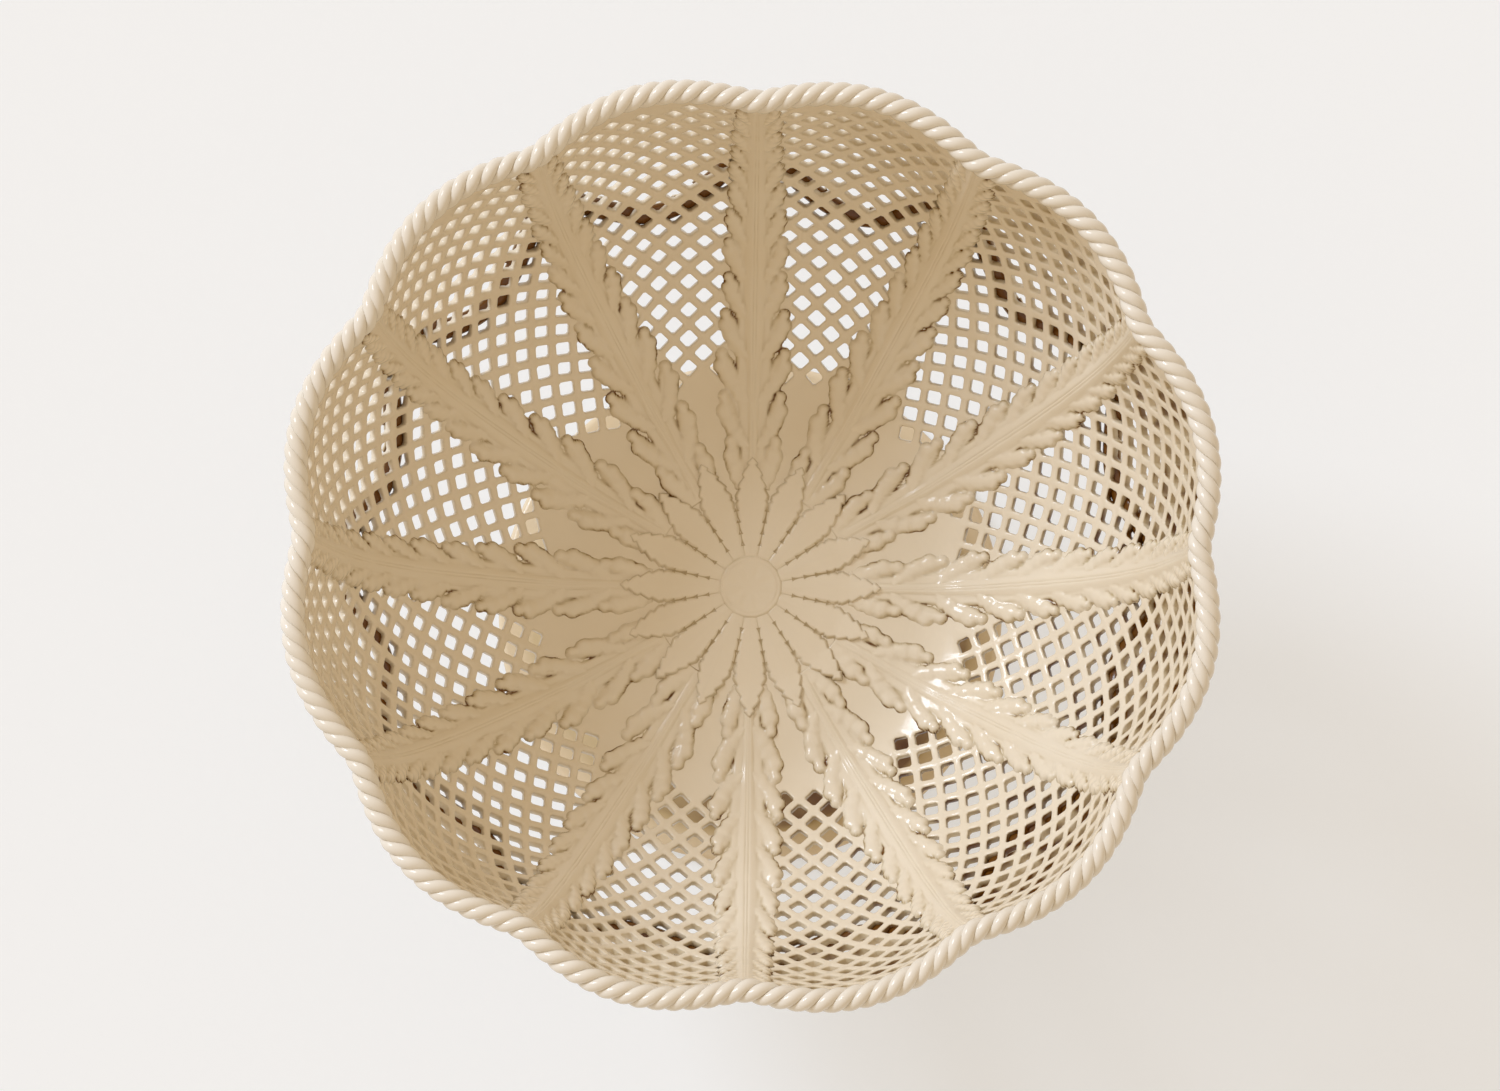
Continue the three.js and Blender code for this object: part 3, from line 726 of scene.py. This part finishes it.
def barbedLines(tree, place, amount):
    # pooled glaze in the thin groove between two leaves, with a barb past every tooth
    add = partial(addNode, tree)
    axes = add("ShaderNodeSeparateXYZ", [place]).outputs
    flat = add("ShaderNodeCombineXYZ", [axes["X"], axes["Y"]])
    radius = add("ShaderNodeVectorMath", [flat], operation="LENGTH").outputs["Value"]
    angle = add("ShaderNodeMath", [axes["Y"], axes["X"]], operation="ARCTAN2")
    leaf = add("ShaderNodeMath", [angle, rosette["leaves"] / (2 * pi)], operation="MULTIPLY")
    share = add("ShaderNodeMath", [leaf], operation="FRACT")
    offMiddle = add("ShaderNodeMath", [share, 0.5], operation="SUBTRACT")
    aside = add("ShaderNodeMath", [offMiddle], operation="ABSOLUTE")
    turn = add("ShaderNodeMath", [aside, 2 * pi / rosette["leaves"]], operation="MULTIPLY")
    away = add("ShaderNodeMath", [turn, radius], operation="MULTIPLY")
    pitch = rosette["toothPitch"]
    teeth = add("ShaderNodeMath", [radius, 1 / (pitch * mm), -rosette["inner"] / pitch],
                operation="MULTIPLY_ADD")
    tooth = add("ShaderNodeMath", [teeth], operation="FRACT")
    left = add("ShaderNodeMath", [1.0, tooth], operation="SUBTRACT")
    point = add("ShaderNodeMath", [left, 3.0], operation="POWER")
    reach = (barb[size] * mm for size in ("widenFrom", "widenTo", "thin", "wide"))
    widening = add("ShaderNodeMapRange", [radius, *reach])
    width = add("ShaderNodeMath", [point, barb["length"] * mm, widening], operation="MULTIPLY_ADD")
    outside = add("ShaderNodeMath", [away, width], operation="SUBTRACT")
    line = add("ShaderNodeMapRange", [
        outside, barb["core"] * mm, barb["edge"] * mm, barb["amount"], 0.0])
    begin = add("ShaderNodeMapRange", [radius, barb["from"] * mm, barb["full"] * mm])
    end = add("ShaderNodeMapRange", [radius, barb["fade"] * mm, barb["to"] * mm, 1.0, 0.0])
    seen = add("ShaderNodeMath", [begin, end], operation="MULTIPLY")
    shown = add("ShaderNodeMath", [line, seen], operation="MULTIPLY")
    return add("ShaderNodeMath", [amount, shown], operation="MAXIMUM")


# the rosette: smooth pale leaves under the gloss, parted by thin barbed brown lines
rosetteGlaze = glazeMaterial("creamwareRosetteGlaze", 0.55, lines=barbedLines)


def onFloor(across, along, height):
    return np.stack([across, along, bowl["floorTop"] + height], -1) * mm


def spearLeaf():
    # one leaf, pointing along y, with the next leaf's groove on either side
    along = np.arange(rosette["inner"] - 0.4, rosette["tip"] + 0.6, rosette["step"])
    across = np.arange(-rosette["halfReach"], rosette["halfReach"] + 0.01, rosette["step"])
    s, u = np.meshgrid(along, across, indexing="ij")
    tooth = np.mod((s - rosette["inner"]) / rosette["toothPitch"], 1.0)
    back = rosette["toothBack"]
    bite = np.where(tooth > back, (1 - tooth) / (1 - back), tooth / back) ** rosette["toothPower"]
    lance = np.interp(s, rosette["at"], rosette["half"])
    toothed = smoothStep(*rosette["toothedFrom"], s)
    lance += (rosette["fuller"] - rosette["toothDepth"] * bite) * toothed
    wedge = s * tan(pi / rosette["leaves"]) - rosette["gap"]
    wedge -= rosette["groove"] * smoothStep(*rosette["groovedFrom"], s)
    barbed = rosette["grooveBarb"] * (1 - tooth) ** rosette["barbPower"]
    wedge -= barbed * smoothStep(*rosette["barbedFrom"], s)
    half = np.where(s < rosette["touchTo"], wedge, np.minimum(lance, wedge))
    edge = np.minimum(half - np.abs(u), np.minimum(rosette["tip"] - s, s - rosette["inner"]))
    lift = rosette["sheet"] + rosette["tipRise"] * smoothStep(*rosette["tipFrom"], s)
    low = rosette["lowRoot"]
    raised = low + (1 - low) * smoothStep(*rosette["fullHeight"], s)
    lift *= smoothStep(*rosette["edgeSoft"], edge) * raised
    lift += rosette["vein"] * (1 - np.clip(np.abs(u) / np.maximum(half, 0.5), 0, 1)) * (edge > 0)
    pool = rosette["pool"] * outlinePool(edge) * smoothStep(*rosette["pooledFrom"], s)
    # u runs against x, so that the quads face upwards
    return reliefMesh("spearLeaf", u, s, lift, edge, pool,
                      lambda a, b, h: onFloor(-a, b, h), rosette["seat"])


def ringTree():
    # the leaf laid round the boss, each copy a touch longer or shorter and turned a little with it
    tree, given, out = nodeTree("leafRing", {
        "Count": rosette["leaves"], "Stretch": rosette["stretch"], "Seed": rosette["seed"]})
    ask, add = given.outputs, partial(addNode, tree)
    dots = add("GeometryNodeMeshLine", {"Count": ask["Count"], "Offset": (0, 0, 0)})
    index = add("GeometryNodeInputIndex")
    share = add("ShaderNodeMath", [index, ask["Count"]], operation="DIVIDE")
    turn = add("ShaderNodeMath", [share, 2 * pi], operation="MULTIPLY")
    less = add("ShaderNodeMath", [0.0, ask["Stretch"]], operation="SUBTRACT")
    stretch = add("FunctionNodeRandomValue", {
        2: less, 3: ask["Stretch"], "Seed": ask["Seed"]}).outputs[1]
    angle = add("ShaderNodeMath", [stretch, rosette["turnShare"], turn], operation="MULTIPLY_ADD")
    spin = add("ShaderNodeCombineXYZ", {"Z": angle})
    grow = add("ShaderNodeMath", [stretch, 1.0], operation="ADD")
    size = add("ShaderNodeCombineXYZ", [1.0, grow, 1.0])
    ring = add("GeometryNodeInstanceOnPoints", {
        "Points": dots, "Instance": ask["Geometry"], "Rotation": spin, "Scale": size})
    return glazedEnd(tree, out, ring, rosetteGlaze)


def rosettePiece():
    leaf = newObject("spearLeaf", spearLeaf())
    mesh = growMesh(leaf, ringTree(), {"Count": rosette["leaves"], "Seed": rosette["seed"]})
    bpy.data.objects.remove(leaf)
    finishPiece("rosetteLeaves", mesh, ["rosette"], rosetteGlaze)


# the boss: a low button, its rim rounded over and its face marked with faint worn petals, in mm
boss = {"radius": 9.3, "rise": 0.75, "round": 1.1, "step": 0.3, "seat": 0.3, "petals": 8,
        "petalRise": 0.1, "petalFrom": (2.0, 4.0), "petalTo": (6.0, 7.6), "ringAt": 7.9,
        "ringDepth": 0.14, "ringHalf": 0.3, "ringPool": 0.12, "ringPoolHalf": 0.35}


def bossPiece():
    reach = boss["radius"] + 0.6
    line = np.arange(-reach, reach + 0.01, boss["step"])
    s, u = np.meshgrid(line, line, indexing="ij")
    radius, angle = np.hypot(u, s), np.arctan2(s, u)
    edge = boss["radius"] - radius
    fromRing = radius - boss["ringAt"]
    petals = boss["petalRise"] * np.cos(boss["petals"] * angle)
    petals *= smoothStep(*boss["petalFrom"], radius) * (1 - smoothStep(*boss["petalTo"], radius))
    over = np.sqrt(np.clip(1 - (1 - np.clip(edge / boss["round"], 0, 1)) ** 2, 0, 1))
    lift = boss["rise"] * over + petals - boss["ringDepth"] * np.exp(-(fromRing / boss["ringHalf"]) ** 2)
    pool = outlinePool(edge) + boss["ringPool"] * np.exp(-(fromRing / boss["ringPoolHalf"]) ** 2)
    mesh = reliefMesh("rosetteBoss", u, s, lift, edge, pool, onFloor, boss["seat"])
    finishPiece("rosetteBoss", mesh, ["rosette_boss"], reliefGlaze)


rosettePiece()
bossPiece()
print("stage rosette")

# rope rim: rolled strands twisted together and laid on the scalloped edge, in mm
rope = {"strands": 3, "turns": 56, "strandRadius": 1.92, "offset": 1.68, "lift": 3.4,
        "stations": 1344, "sides": 14}
endSlope = profile[-1, 3]
outwardHalf = bowl["wallThickness"] / 2
ropeCentre = (profile[-1, 1] + outwardHalf * sin(endSlope) + rope["lift"] * cos(endSlope),
              profile[-1, 2] - outwardHalf * cos(endSlope) + rope["lift"] * sin(endSlope))


def ropeTree():
    tree, given, out = nodeTree("twistedRope", {
        "Strands": rope["strands"], "Turns": float(rope["turns"]), "Offset": rope["offset"],
        "Strand Radius": rope["strandRadius"], "Stations": rope["stations"], "Sides": rope["sides"]})
    ask, add = given.outputs, partial(addNode, tree)
    ring = add("GeometryNodeCurvePrimitiveCircle", {"Resolution": ask["Stations"], "Radius": 1.0})
    lines = add("GeometryNodeDuplicateElements", {
        "Geometry": ring, "Amount": ask["Strands"]}, domain="SPLINE")
    strand = add("GeometryNodeStoreNamedAttribute", {
        "Geometry": lines, "Name": "strand", "Value": lines.outputs[1]},
        data_type="FLOAT", domain="CURVE")
    # each strand winds round the rope's middle line, a share of a turn behind the one before
    place = add("GeometryNodeInputPosition")
    where = add("ShaderNodeSeparateXYZ", [place]).outputs
    angle = add("ShaderNodeMath", [where["Y"], where["X"]], operation="ARCTAN2")
    which = add("GeometryNodeInputNamedAttribute", {"Name": "strand"}, data_type="FLOAT")
    share = add("ShaderNodeMath", [which, ask["Strands"]], operation="DIVIDE")
    wound = add("ShaderNodeMath", [angle, ask["Turns"]], operation="MULTIPLY")
    phase = add("ShaderNodeMath", [share, 2 * pi, wound], operation="MULTIPLY_ADD")
    # the middle line swells out with the lobes, by the same rule as lobeSwell
    soft = bowl["valleySoftness"]
    full = (1 + soft * soft) ** 0.5 - soft
    fromRib = add("ShaderNodeMath", [angle, firstRib], operation="SUBTRACT")
    lobeTurn = add("ShaderNodeMath", [fromRib, bowl["lobes"] / 2], operation="MULTIPLY")
    wave = add("ShaderNodeMath", [lobeTurn], operation="SINE")
    squared = add("ShaderNodeMath", [wave, wave, soft * soft], operation="MULTIPLY_ADD")
    rounded = add("ShaderNodeMath", [squared], operation="SQRT")
    swell = add("ShaderNodeMath", [rounded, soft], operation="SUBTRACT")
    centre = add("ShaderNodeMath", [swell, bowl["lobeDepth"] / full, ropeCentre[0]],
                 operation="MULTIPLY_ADD")
    across, up = (add("ShaderNodeMath", [phase], operation=kind) for kind in ("COSINE", "SINE"))
    radius = add("ShaderNodeMath", [across, ask["Offset"], centre], operation="MULTIPLY_ADD")
    height = add("ShaderNodeMath", [up, ask["Offset"], ropeCentre[1]], operation="MULTIPLY_ADD")
    aim = [add("ShaderNodeMath", [angle], operation=kind) for kind in ("COSINE", "SINE")]
    x, y = (add("ShaderNodeMath", [radius, part], operation="MULTIPLY") for part in aim)
    spot = add("ShaderNodeCombineXYZ", [x, y, height])
    laid = add("GeometryNodeSetPosition", {"Geometry": strand, "Position": spot})
    section = add("GeometryNodeCurvePrimitiveCircle", {
        "Resolution": ask["Sides"], "Radius": ask["Strand Radius"]})
    tube = add("GeometryNodeCurveToMesh", {"Curve": laid, "Profile Curve": section})
    shrunk = add("GeometryNodeTransform", {"Geometry": tube, "Scale": (mm, mm, mm)})
    return glazedEnd(tree, out, shrunk, ropeGlaze)


def ropePiece():
    carrier = newObject("ropeCarrier", bpy.data.meshes.new("ropeCarrier"))
    mesh = growMesh(carrier, ropeTree(), {"Turns": float(rope["turns"]), "Offset": rope["offset"]})
    bpy.data.objects.remove(carrier)
    finishPiece("ropeRim", mesh, ["rope_rim"], ropeGlaze)


ropePiece()
print("stage rope")

# swags: strings of bell husks hung across the outside of each lobe, in mm down from the rim
swag = {
    "endDrop": 40.0, "middleDrop": 65.0, "endMargin": 3.4, "depth": 3.4, "husks": 9,
    "huskLength": 7.2, "huskWidth": 3.6, "huskHeight": 3.3, "huskSides": 12, "mouthLobes": 0.16,
    # the dark back of each swag is painted shade
    "band": 3.3, "bandFlatness": 0.55, "bandSides": 10, "bandStations": 49, "backShade": (-0.4, 0.6),
    "bellAt": (-0.5, -0.42, -0.2, 0.05, 0.28, 0.42, 0.5),
    "bellHalf": (0.12, 0.3, 0.52, 0.68, 0.9, 1.0, 0.5), "bellBack": -0.12,
}


def huskMesh():
    # one bell husk, pointing along x, unit long: a swelling bell with a flared three-lobed mouth
    sides = swag["huskSides"]
    points = []
    for x, half in zip(swag["bellAt"], swag["bellHalf"]):
        for k in range(sides):
            angle = 2 * pi * k / sides
            flare = half * (1 + (swag["mouthLobes"] * cos(3 * angle) if x > 0 else 0))
            points.append((x, flare * cos(angle), max(flare * sin(angle), swag["bellBack"])))
    return meshFrom("bellHusk", points, tubeFaces(len(swag["bellAt"]), sides))


def swagTree():
    tree, given, out = nodeTree("huskString", {
        "Half Span": 20.0, "End Drop": swag["endDrop"], "Middle Drop": swag["middleDrop"],
        "Husks": swag["husks"], "Husk Length": swag["huskLength"], "Husk Width": swag["huskWidth"],
        "Husk Height": swag["huskHeight"], "Band": swag["band"], "Husk": bpy.types.Object})
    ask, add = given.outputs, partial(addNode, tree)
    # a parabola, from one end of the swag to the other
    line = add("GeometryNodeCurvePrimitiveLine", {"Start": (-1.0, 0, 0), "End": (1.0, 0, 0)})
    fine = add("GeometryNodeResampleCurve", {"Curve": line, "Count": swag["bandStations"]})
    place = add("GeometryNodeInputPosition")
    share = add("ShaderNodeSeparateXYZ", [place]).outputs["X"]
    squared = add("ShaderNodeMath", [share, share], operation="MULTIPLY")
    rise = add("ShaderNodeMath", [ask["End Drop"], ask["Middle Drop"]], operation="SUBTRACT")
    drop = add("ShaderNodeMath", [squared, rise, ask["Middle Drop"]], operation="MULTIPLY_ADD")
    across = add("ShaderNodeMath", [share, ask["Half Span"]], operation="MULTIPLY")
    along = add("ShaderNodeMath", [drop, -1.0], operation="MULTIPLY")
    spot = add("ShaderNodeCombineXYZ", [across, along])
    hung = add("GeometryNodeSetPosition", {"Geometry": fine, "Position": spot})
    # a flat band of clay carries the husks
    section = add("GeometryNodeCurvePrimitiveCircle", {
        "Resolution": swag["bandSides"], "Radius": ask["Band"]})
    band = add("GeometryNodeCurveToMesh", {"Curve": hung, "Profile Curve": section, "Fill Caps": True})
    flat = add("GeometryNodeTransform", {"Geometry": band, "Scale": (1, 1, swag["bandFlatness"])})
    seats = add("GeometryNodeCurveToPoints", {"Curve": hung, "Count": ask["Husks"]})
    lying = add("FunctionNodeAlignRotationToVector", {"Vector": seats.outputs["Tangent"]}, axis="X")
    source = add("GeometryNodeObjectInfo", {"Object": ask["Husk"]})
    size = add("ShaderNodeCombineXYZ", [ask["Husk Length"], ask["Husk Width"], ask["Husk Height"]])
    husks = add("GeometryNodeInstanceOnPoints", {
        "Points": seats, "Instance": source.outputs["Geometry"], "Rotation": lying, "Scale": size})
    joined = add("GeometryNodeJoinGeometry")
    for part in (flat, husks):
        tree.links.new(part.outputs[0], joined.inputs[0])
    return glazedEnd(tree, out, joined, swagGlazeAndShade)


def swagPieces():
    husk = newObject("bellHusk", huskMesh())
    carrier = newObject("swagCarrier", bpy.data.meshes.new("swagCarrier"))
    tree = swagTree()
    endRadius = float(wallRadius(wallEnd - swag["endDrop"]))
    halfSpan = endRadius * lobePitch / 2 - swag["endMargin"]
    for i in range(bowl["lobes"]):
        middle = firstRib + (i + 0.5) * lobePitch
        mesh = growMesh(carrier, tree, {
            "Half Span": halfSpan, "End Drop": swag["endDrop"], "Middle Drop": swag["middleDrop"],
            "Husk": husk})
        across, along, proud = meshPoints(mesh).T
        bent = wallPoint(middle + across / endRadius, wallEnd + along, -swag["depth"] - proud)
        # painted shade: dark glaze colour on the side that lies on the wall, seen through the holes
        setPool(mesh, 1 - smoothStep(*swag["backShade"], proud))
        mesh.vertices.foreach_set("co", bent.reshape(-1))
        mesh.flip_normals()
        mesh.update()
        finishPiece(f"huskSwag{i + 1:02d}", mesh, [f"swag_{i + 1:02d}"], swagGlazeAndShade)
    bpy.data.objects.remove(husk)
    bpy.data.objects.remove(carrier)


swagPieces()
print("stage swags")

# foot: thrown hollow and spread at the table, with softened edges, in mm
foot = {
    "height": 61.6, "radius": 77.0, "wall": 4.2, "edge": 4.6, "neck": 40.0, "neckHeight": 47.0,
    "collar": 46.0, "collarHeight": 4.0, "soft": 0.9, "segments": 220, "curveSteps": 34,
    # the foot's pool amounts and its darker side are painted shade
    "rollSteps": 12, "pool": 0.36, "darkSidePool": 0.36, "shadedSide": -50.0, "poolReach": 18.6,
    "poolFrom": 4.4, "poolFull": 6.0, "bevel": 0.25, "cove": ((0.0, 2.2), (0.5, 0.8), (1.6, 0.1)),
}


def footOutline():
    # radius and height round the section: the rolled edge, the flare, the cove and collar, the hollow
    shoulder = foot["radius"] - foot["edge"] / 2
    turns = np.linspace(0, pi / 2, foot["curveSteps"])
    outer = [(foot["neck"] + (shoulder - foot["neck"]) * (1 - sin(t)),
              foot["neckHeight"] + (foot["edge"] - foot["neckHeight"]) * cos(t)) for t in turns]
    innerRim, innerNeck = shoulder - foot["wall"], foot["neck"] - foot["wall"]
    inner = [(innerNeck + (innerRim - innerNeck) * (1 - sin(t)),
              foot["neckHeight"] * (1 - cos(t))) for t in turns]
    half = foot["edge"] / 2
    roll = [(shoulder + half * cos(t), half + half * sin(t))
            for t in np.linspace(-pi / 2, pi / 2, foot["rollSteps"])]
    neck, edge, soft, top = foot["neck"], foot["collar"], foot["soft"], foot["height"]
    base, bevel = top - foot["collarHeight"], foot["bevel"]
    cove = [(neck + out, base - drop) for out, drop in foot["cove"]]
    collar = [(edge - soft, base), (edge - bevel, base + bevel), (edge, base + soft),
              (edge, top - soft), (edge - bevel, top - bevel), (edge - soft, top), (innerNeck, top)]
    return roll + outer[1:] + cove + collar + inner[::-1][:-1]


def footPiece():
    outline = footOutline()
    steps, size = foot["segments"], len(outline)
    points, faces, poolShadeShares = [], [], []
    for k in range(steps):
        turn, here, after = 2 * pi * k / steps, k * size, (k + 1) % steps * size
        # painted shade: darker glaze colour on the flare, browner on the side away from the key lamp
        facing = max(cos(turn - radians(foot["shadedSide"])), 0.0)
        amount = foot["pool"] + foot["darkSidePool"] * facing
        for i, (r, z) in enumerate(outline):
            points.append((r * cos(turn) * mm, r * sin(turn) * mm, z * mm))
            faces.append((here + i, after + i, after + (i + 1) % size, here + (i + 1) % size))
            reached = smoothStep(foot["neck"], foot["radius"] - foot["poolReach"], r)
            poolShadeShares.append(amount * float(reached * smoothStep(foot["poolFrom"], foot["poolFull"], z)))
    mesh = meshFrom("turnedFoot", points, faces, poolShadeShares)
    finishPiece("turnedFoot", mesh, ["pedestal_foot"], footGlazeAndShade)


footPiece()
print("stage foot")

# the table, the light and the camera; lengths are in mm and angles in degrees
view = {
    "elevation": 82.5, "distance": 2089.0, "aim": (-0.4, -1.0, 166.5), "lens": 176.6, "roll": 0.85,
    "sensor": 36.0, "clipEnd": 20000,
    "floor": "#F2F8FF", "floorGlow": "#FAFCFF", "glowShare": 0.45, "glowFrom": 450, "glowFull": 900,
    "floorHalf": 4000, "floorDrop": 0.2, "grainSize": 33.33, "floorRoughness": (0.8, 0.9),
    "floorSpecular": 0.1, "backdrop": "#F3F3F3",
    "sky": "#FFE4BF", "skyLevel": 0.68, "sun": "#E2EEFF", "sunLevel": 1.95, "sunAzimuth": 143.0,
    "sunElevation": 34.5, "sunAngle": 20.0,
}


def whiteShare(tree):
    # 1 for rays that see the background directly, in a reflection or through glass
    add = partial(addNode, tree)
    ray = add("ShaderNodeLightPath").outputs
    seen = add("ShaderNodeMath", [ray["Is Camera Ray"], ray["Is Glossy Ray"]], operation="MAXIMUM")
    return add("ShaderNodeMath", [seen, ray["Is Transmission Ray"]], operation="MAXIMUM")


def tableTop():
    # matt white laminate: an even pale ground that shows the bowl's soft shadow and no gloss
    material = bpy.data.materials.new("paleTableTop")
    tree = emptyTree(material)
    add = partial(addNode, tree)
    place = add("ShaderNodeTexCoord").outputs["Object"]
    grain = add("ShaderNodeTexNoise", {"Vector": place, "Scale": 1 / (view["grainSize"] * mm)})
    shade = add("ShaderNodeMapRange", [grain, 0.0, 1.0, *view["floorRoughness"]])
    matt = add("ShaderNodeBsdfPrincipled", {
        "Base Color": linear(view["floor"]), "Roughness": shade,
        "Specular IOR Level": view["floorSpecular"]})
    # far from the bowl the table runs out into plain white
    distance = add("ShaderNodeVectorMath", [place], operation="LENGTH")
    far = add("ShaderNodeMapRange", [
        distance.outputs["Value"], view["glowFrom"] * mm, view["glowFull"] * mm, view["glowShare"], 1.0])
    share = add("ShaderNodeMath", [far, whiteShare(tree)], operation="MULTIPLY")
    glow = add("ShaderNodeEmission", {"Color": linear(view["floorGlow"]), "Strength": 1.0})
    mixed = add("ShaderNodeMixShader", [share, matt, glow])
    add("ShaderNodeOutputMaterial", {"Surface": mixed})
    half = view["floorHalf"] * mm
    corners = [(-half, -half, 0), (half, -half, 0), (half, half, 0), (-half, half, 0)]
    table = newObject("tableTop", meshFrom("tableTop", corners, [(0, 1, 2, 3)]))
    table.location.z = -view["floorDrop"] * mm
    table.data.materials.append(material)


def lights():
    # a warm even fill from the sky, and one broad, cooler key lamp from the upper left
    world = bpy.data.worlds.new("studio")
    bpy.context.scene.world = world
    tree = emptyTree(world)
    add = partial(addNode, tree)
    fill = add("ShaderNodeBackground", {"Color": linear(view["sky"]), "Strength": view["skyLevel"]})
    white = add("ShaderNodeBackground", {"Color": linear(view["backdrop"]), "Strength": 1.0})
    mixed = add("ShaderNodeMixShader", [whiteShare(tree), fill, white])
    add("ShaderNodeOutputWorld", {"Surface": mixed})
    lamp = bpy.data.lights.new("softKey", "SUN")
    lamp.energy = view["sunLevel"]
    lamp.angle = radians(view["sunAngle"])
    lamp.color = linear(view["sun"])[:3]
    key = newObject("softKey", lamp)
    tilt, turn = radians(view["sunElevation"]), radians(view["sunAzimuth"])
    toLamp = Vector((cos(tilt) * cos(turn), cos(tilt) * sin(turn), sin(tilt)))
    key.rotation_euler = toLamp.to_track_quat("Z", "Y").to_euler()


def camera():
    data = bpy.data.cameras.new("mainCamera")
    data.lens = view["lens"]
    data.sensor_width = view["sensor"]
    data.clip_end = view["clipEnd"] * mm
    eye = newObject("mainCamera", data)
    tilt = radians(view["elevation"])
    toEye = Vector((0, -cos(tilt), sin(tilt)))
    eye.location = Vector(view["aim"]) * mm + toEye * view["distance"] * mm
    turned = toEye.to_track_quat("Z", "Y").to_matrix() @ Matrix.Rotation(radians(view["roll"]), 3, "Z")
    eye.rotation_euler = turned.to_euler()
    bpy.context.scene.camera = eye


tableTop()
lights()
camera()
print("stage light and camera")
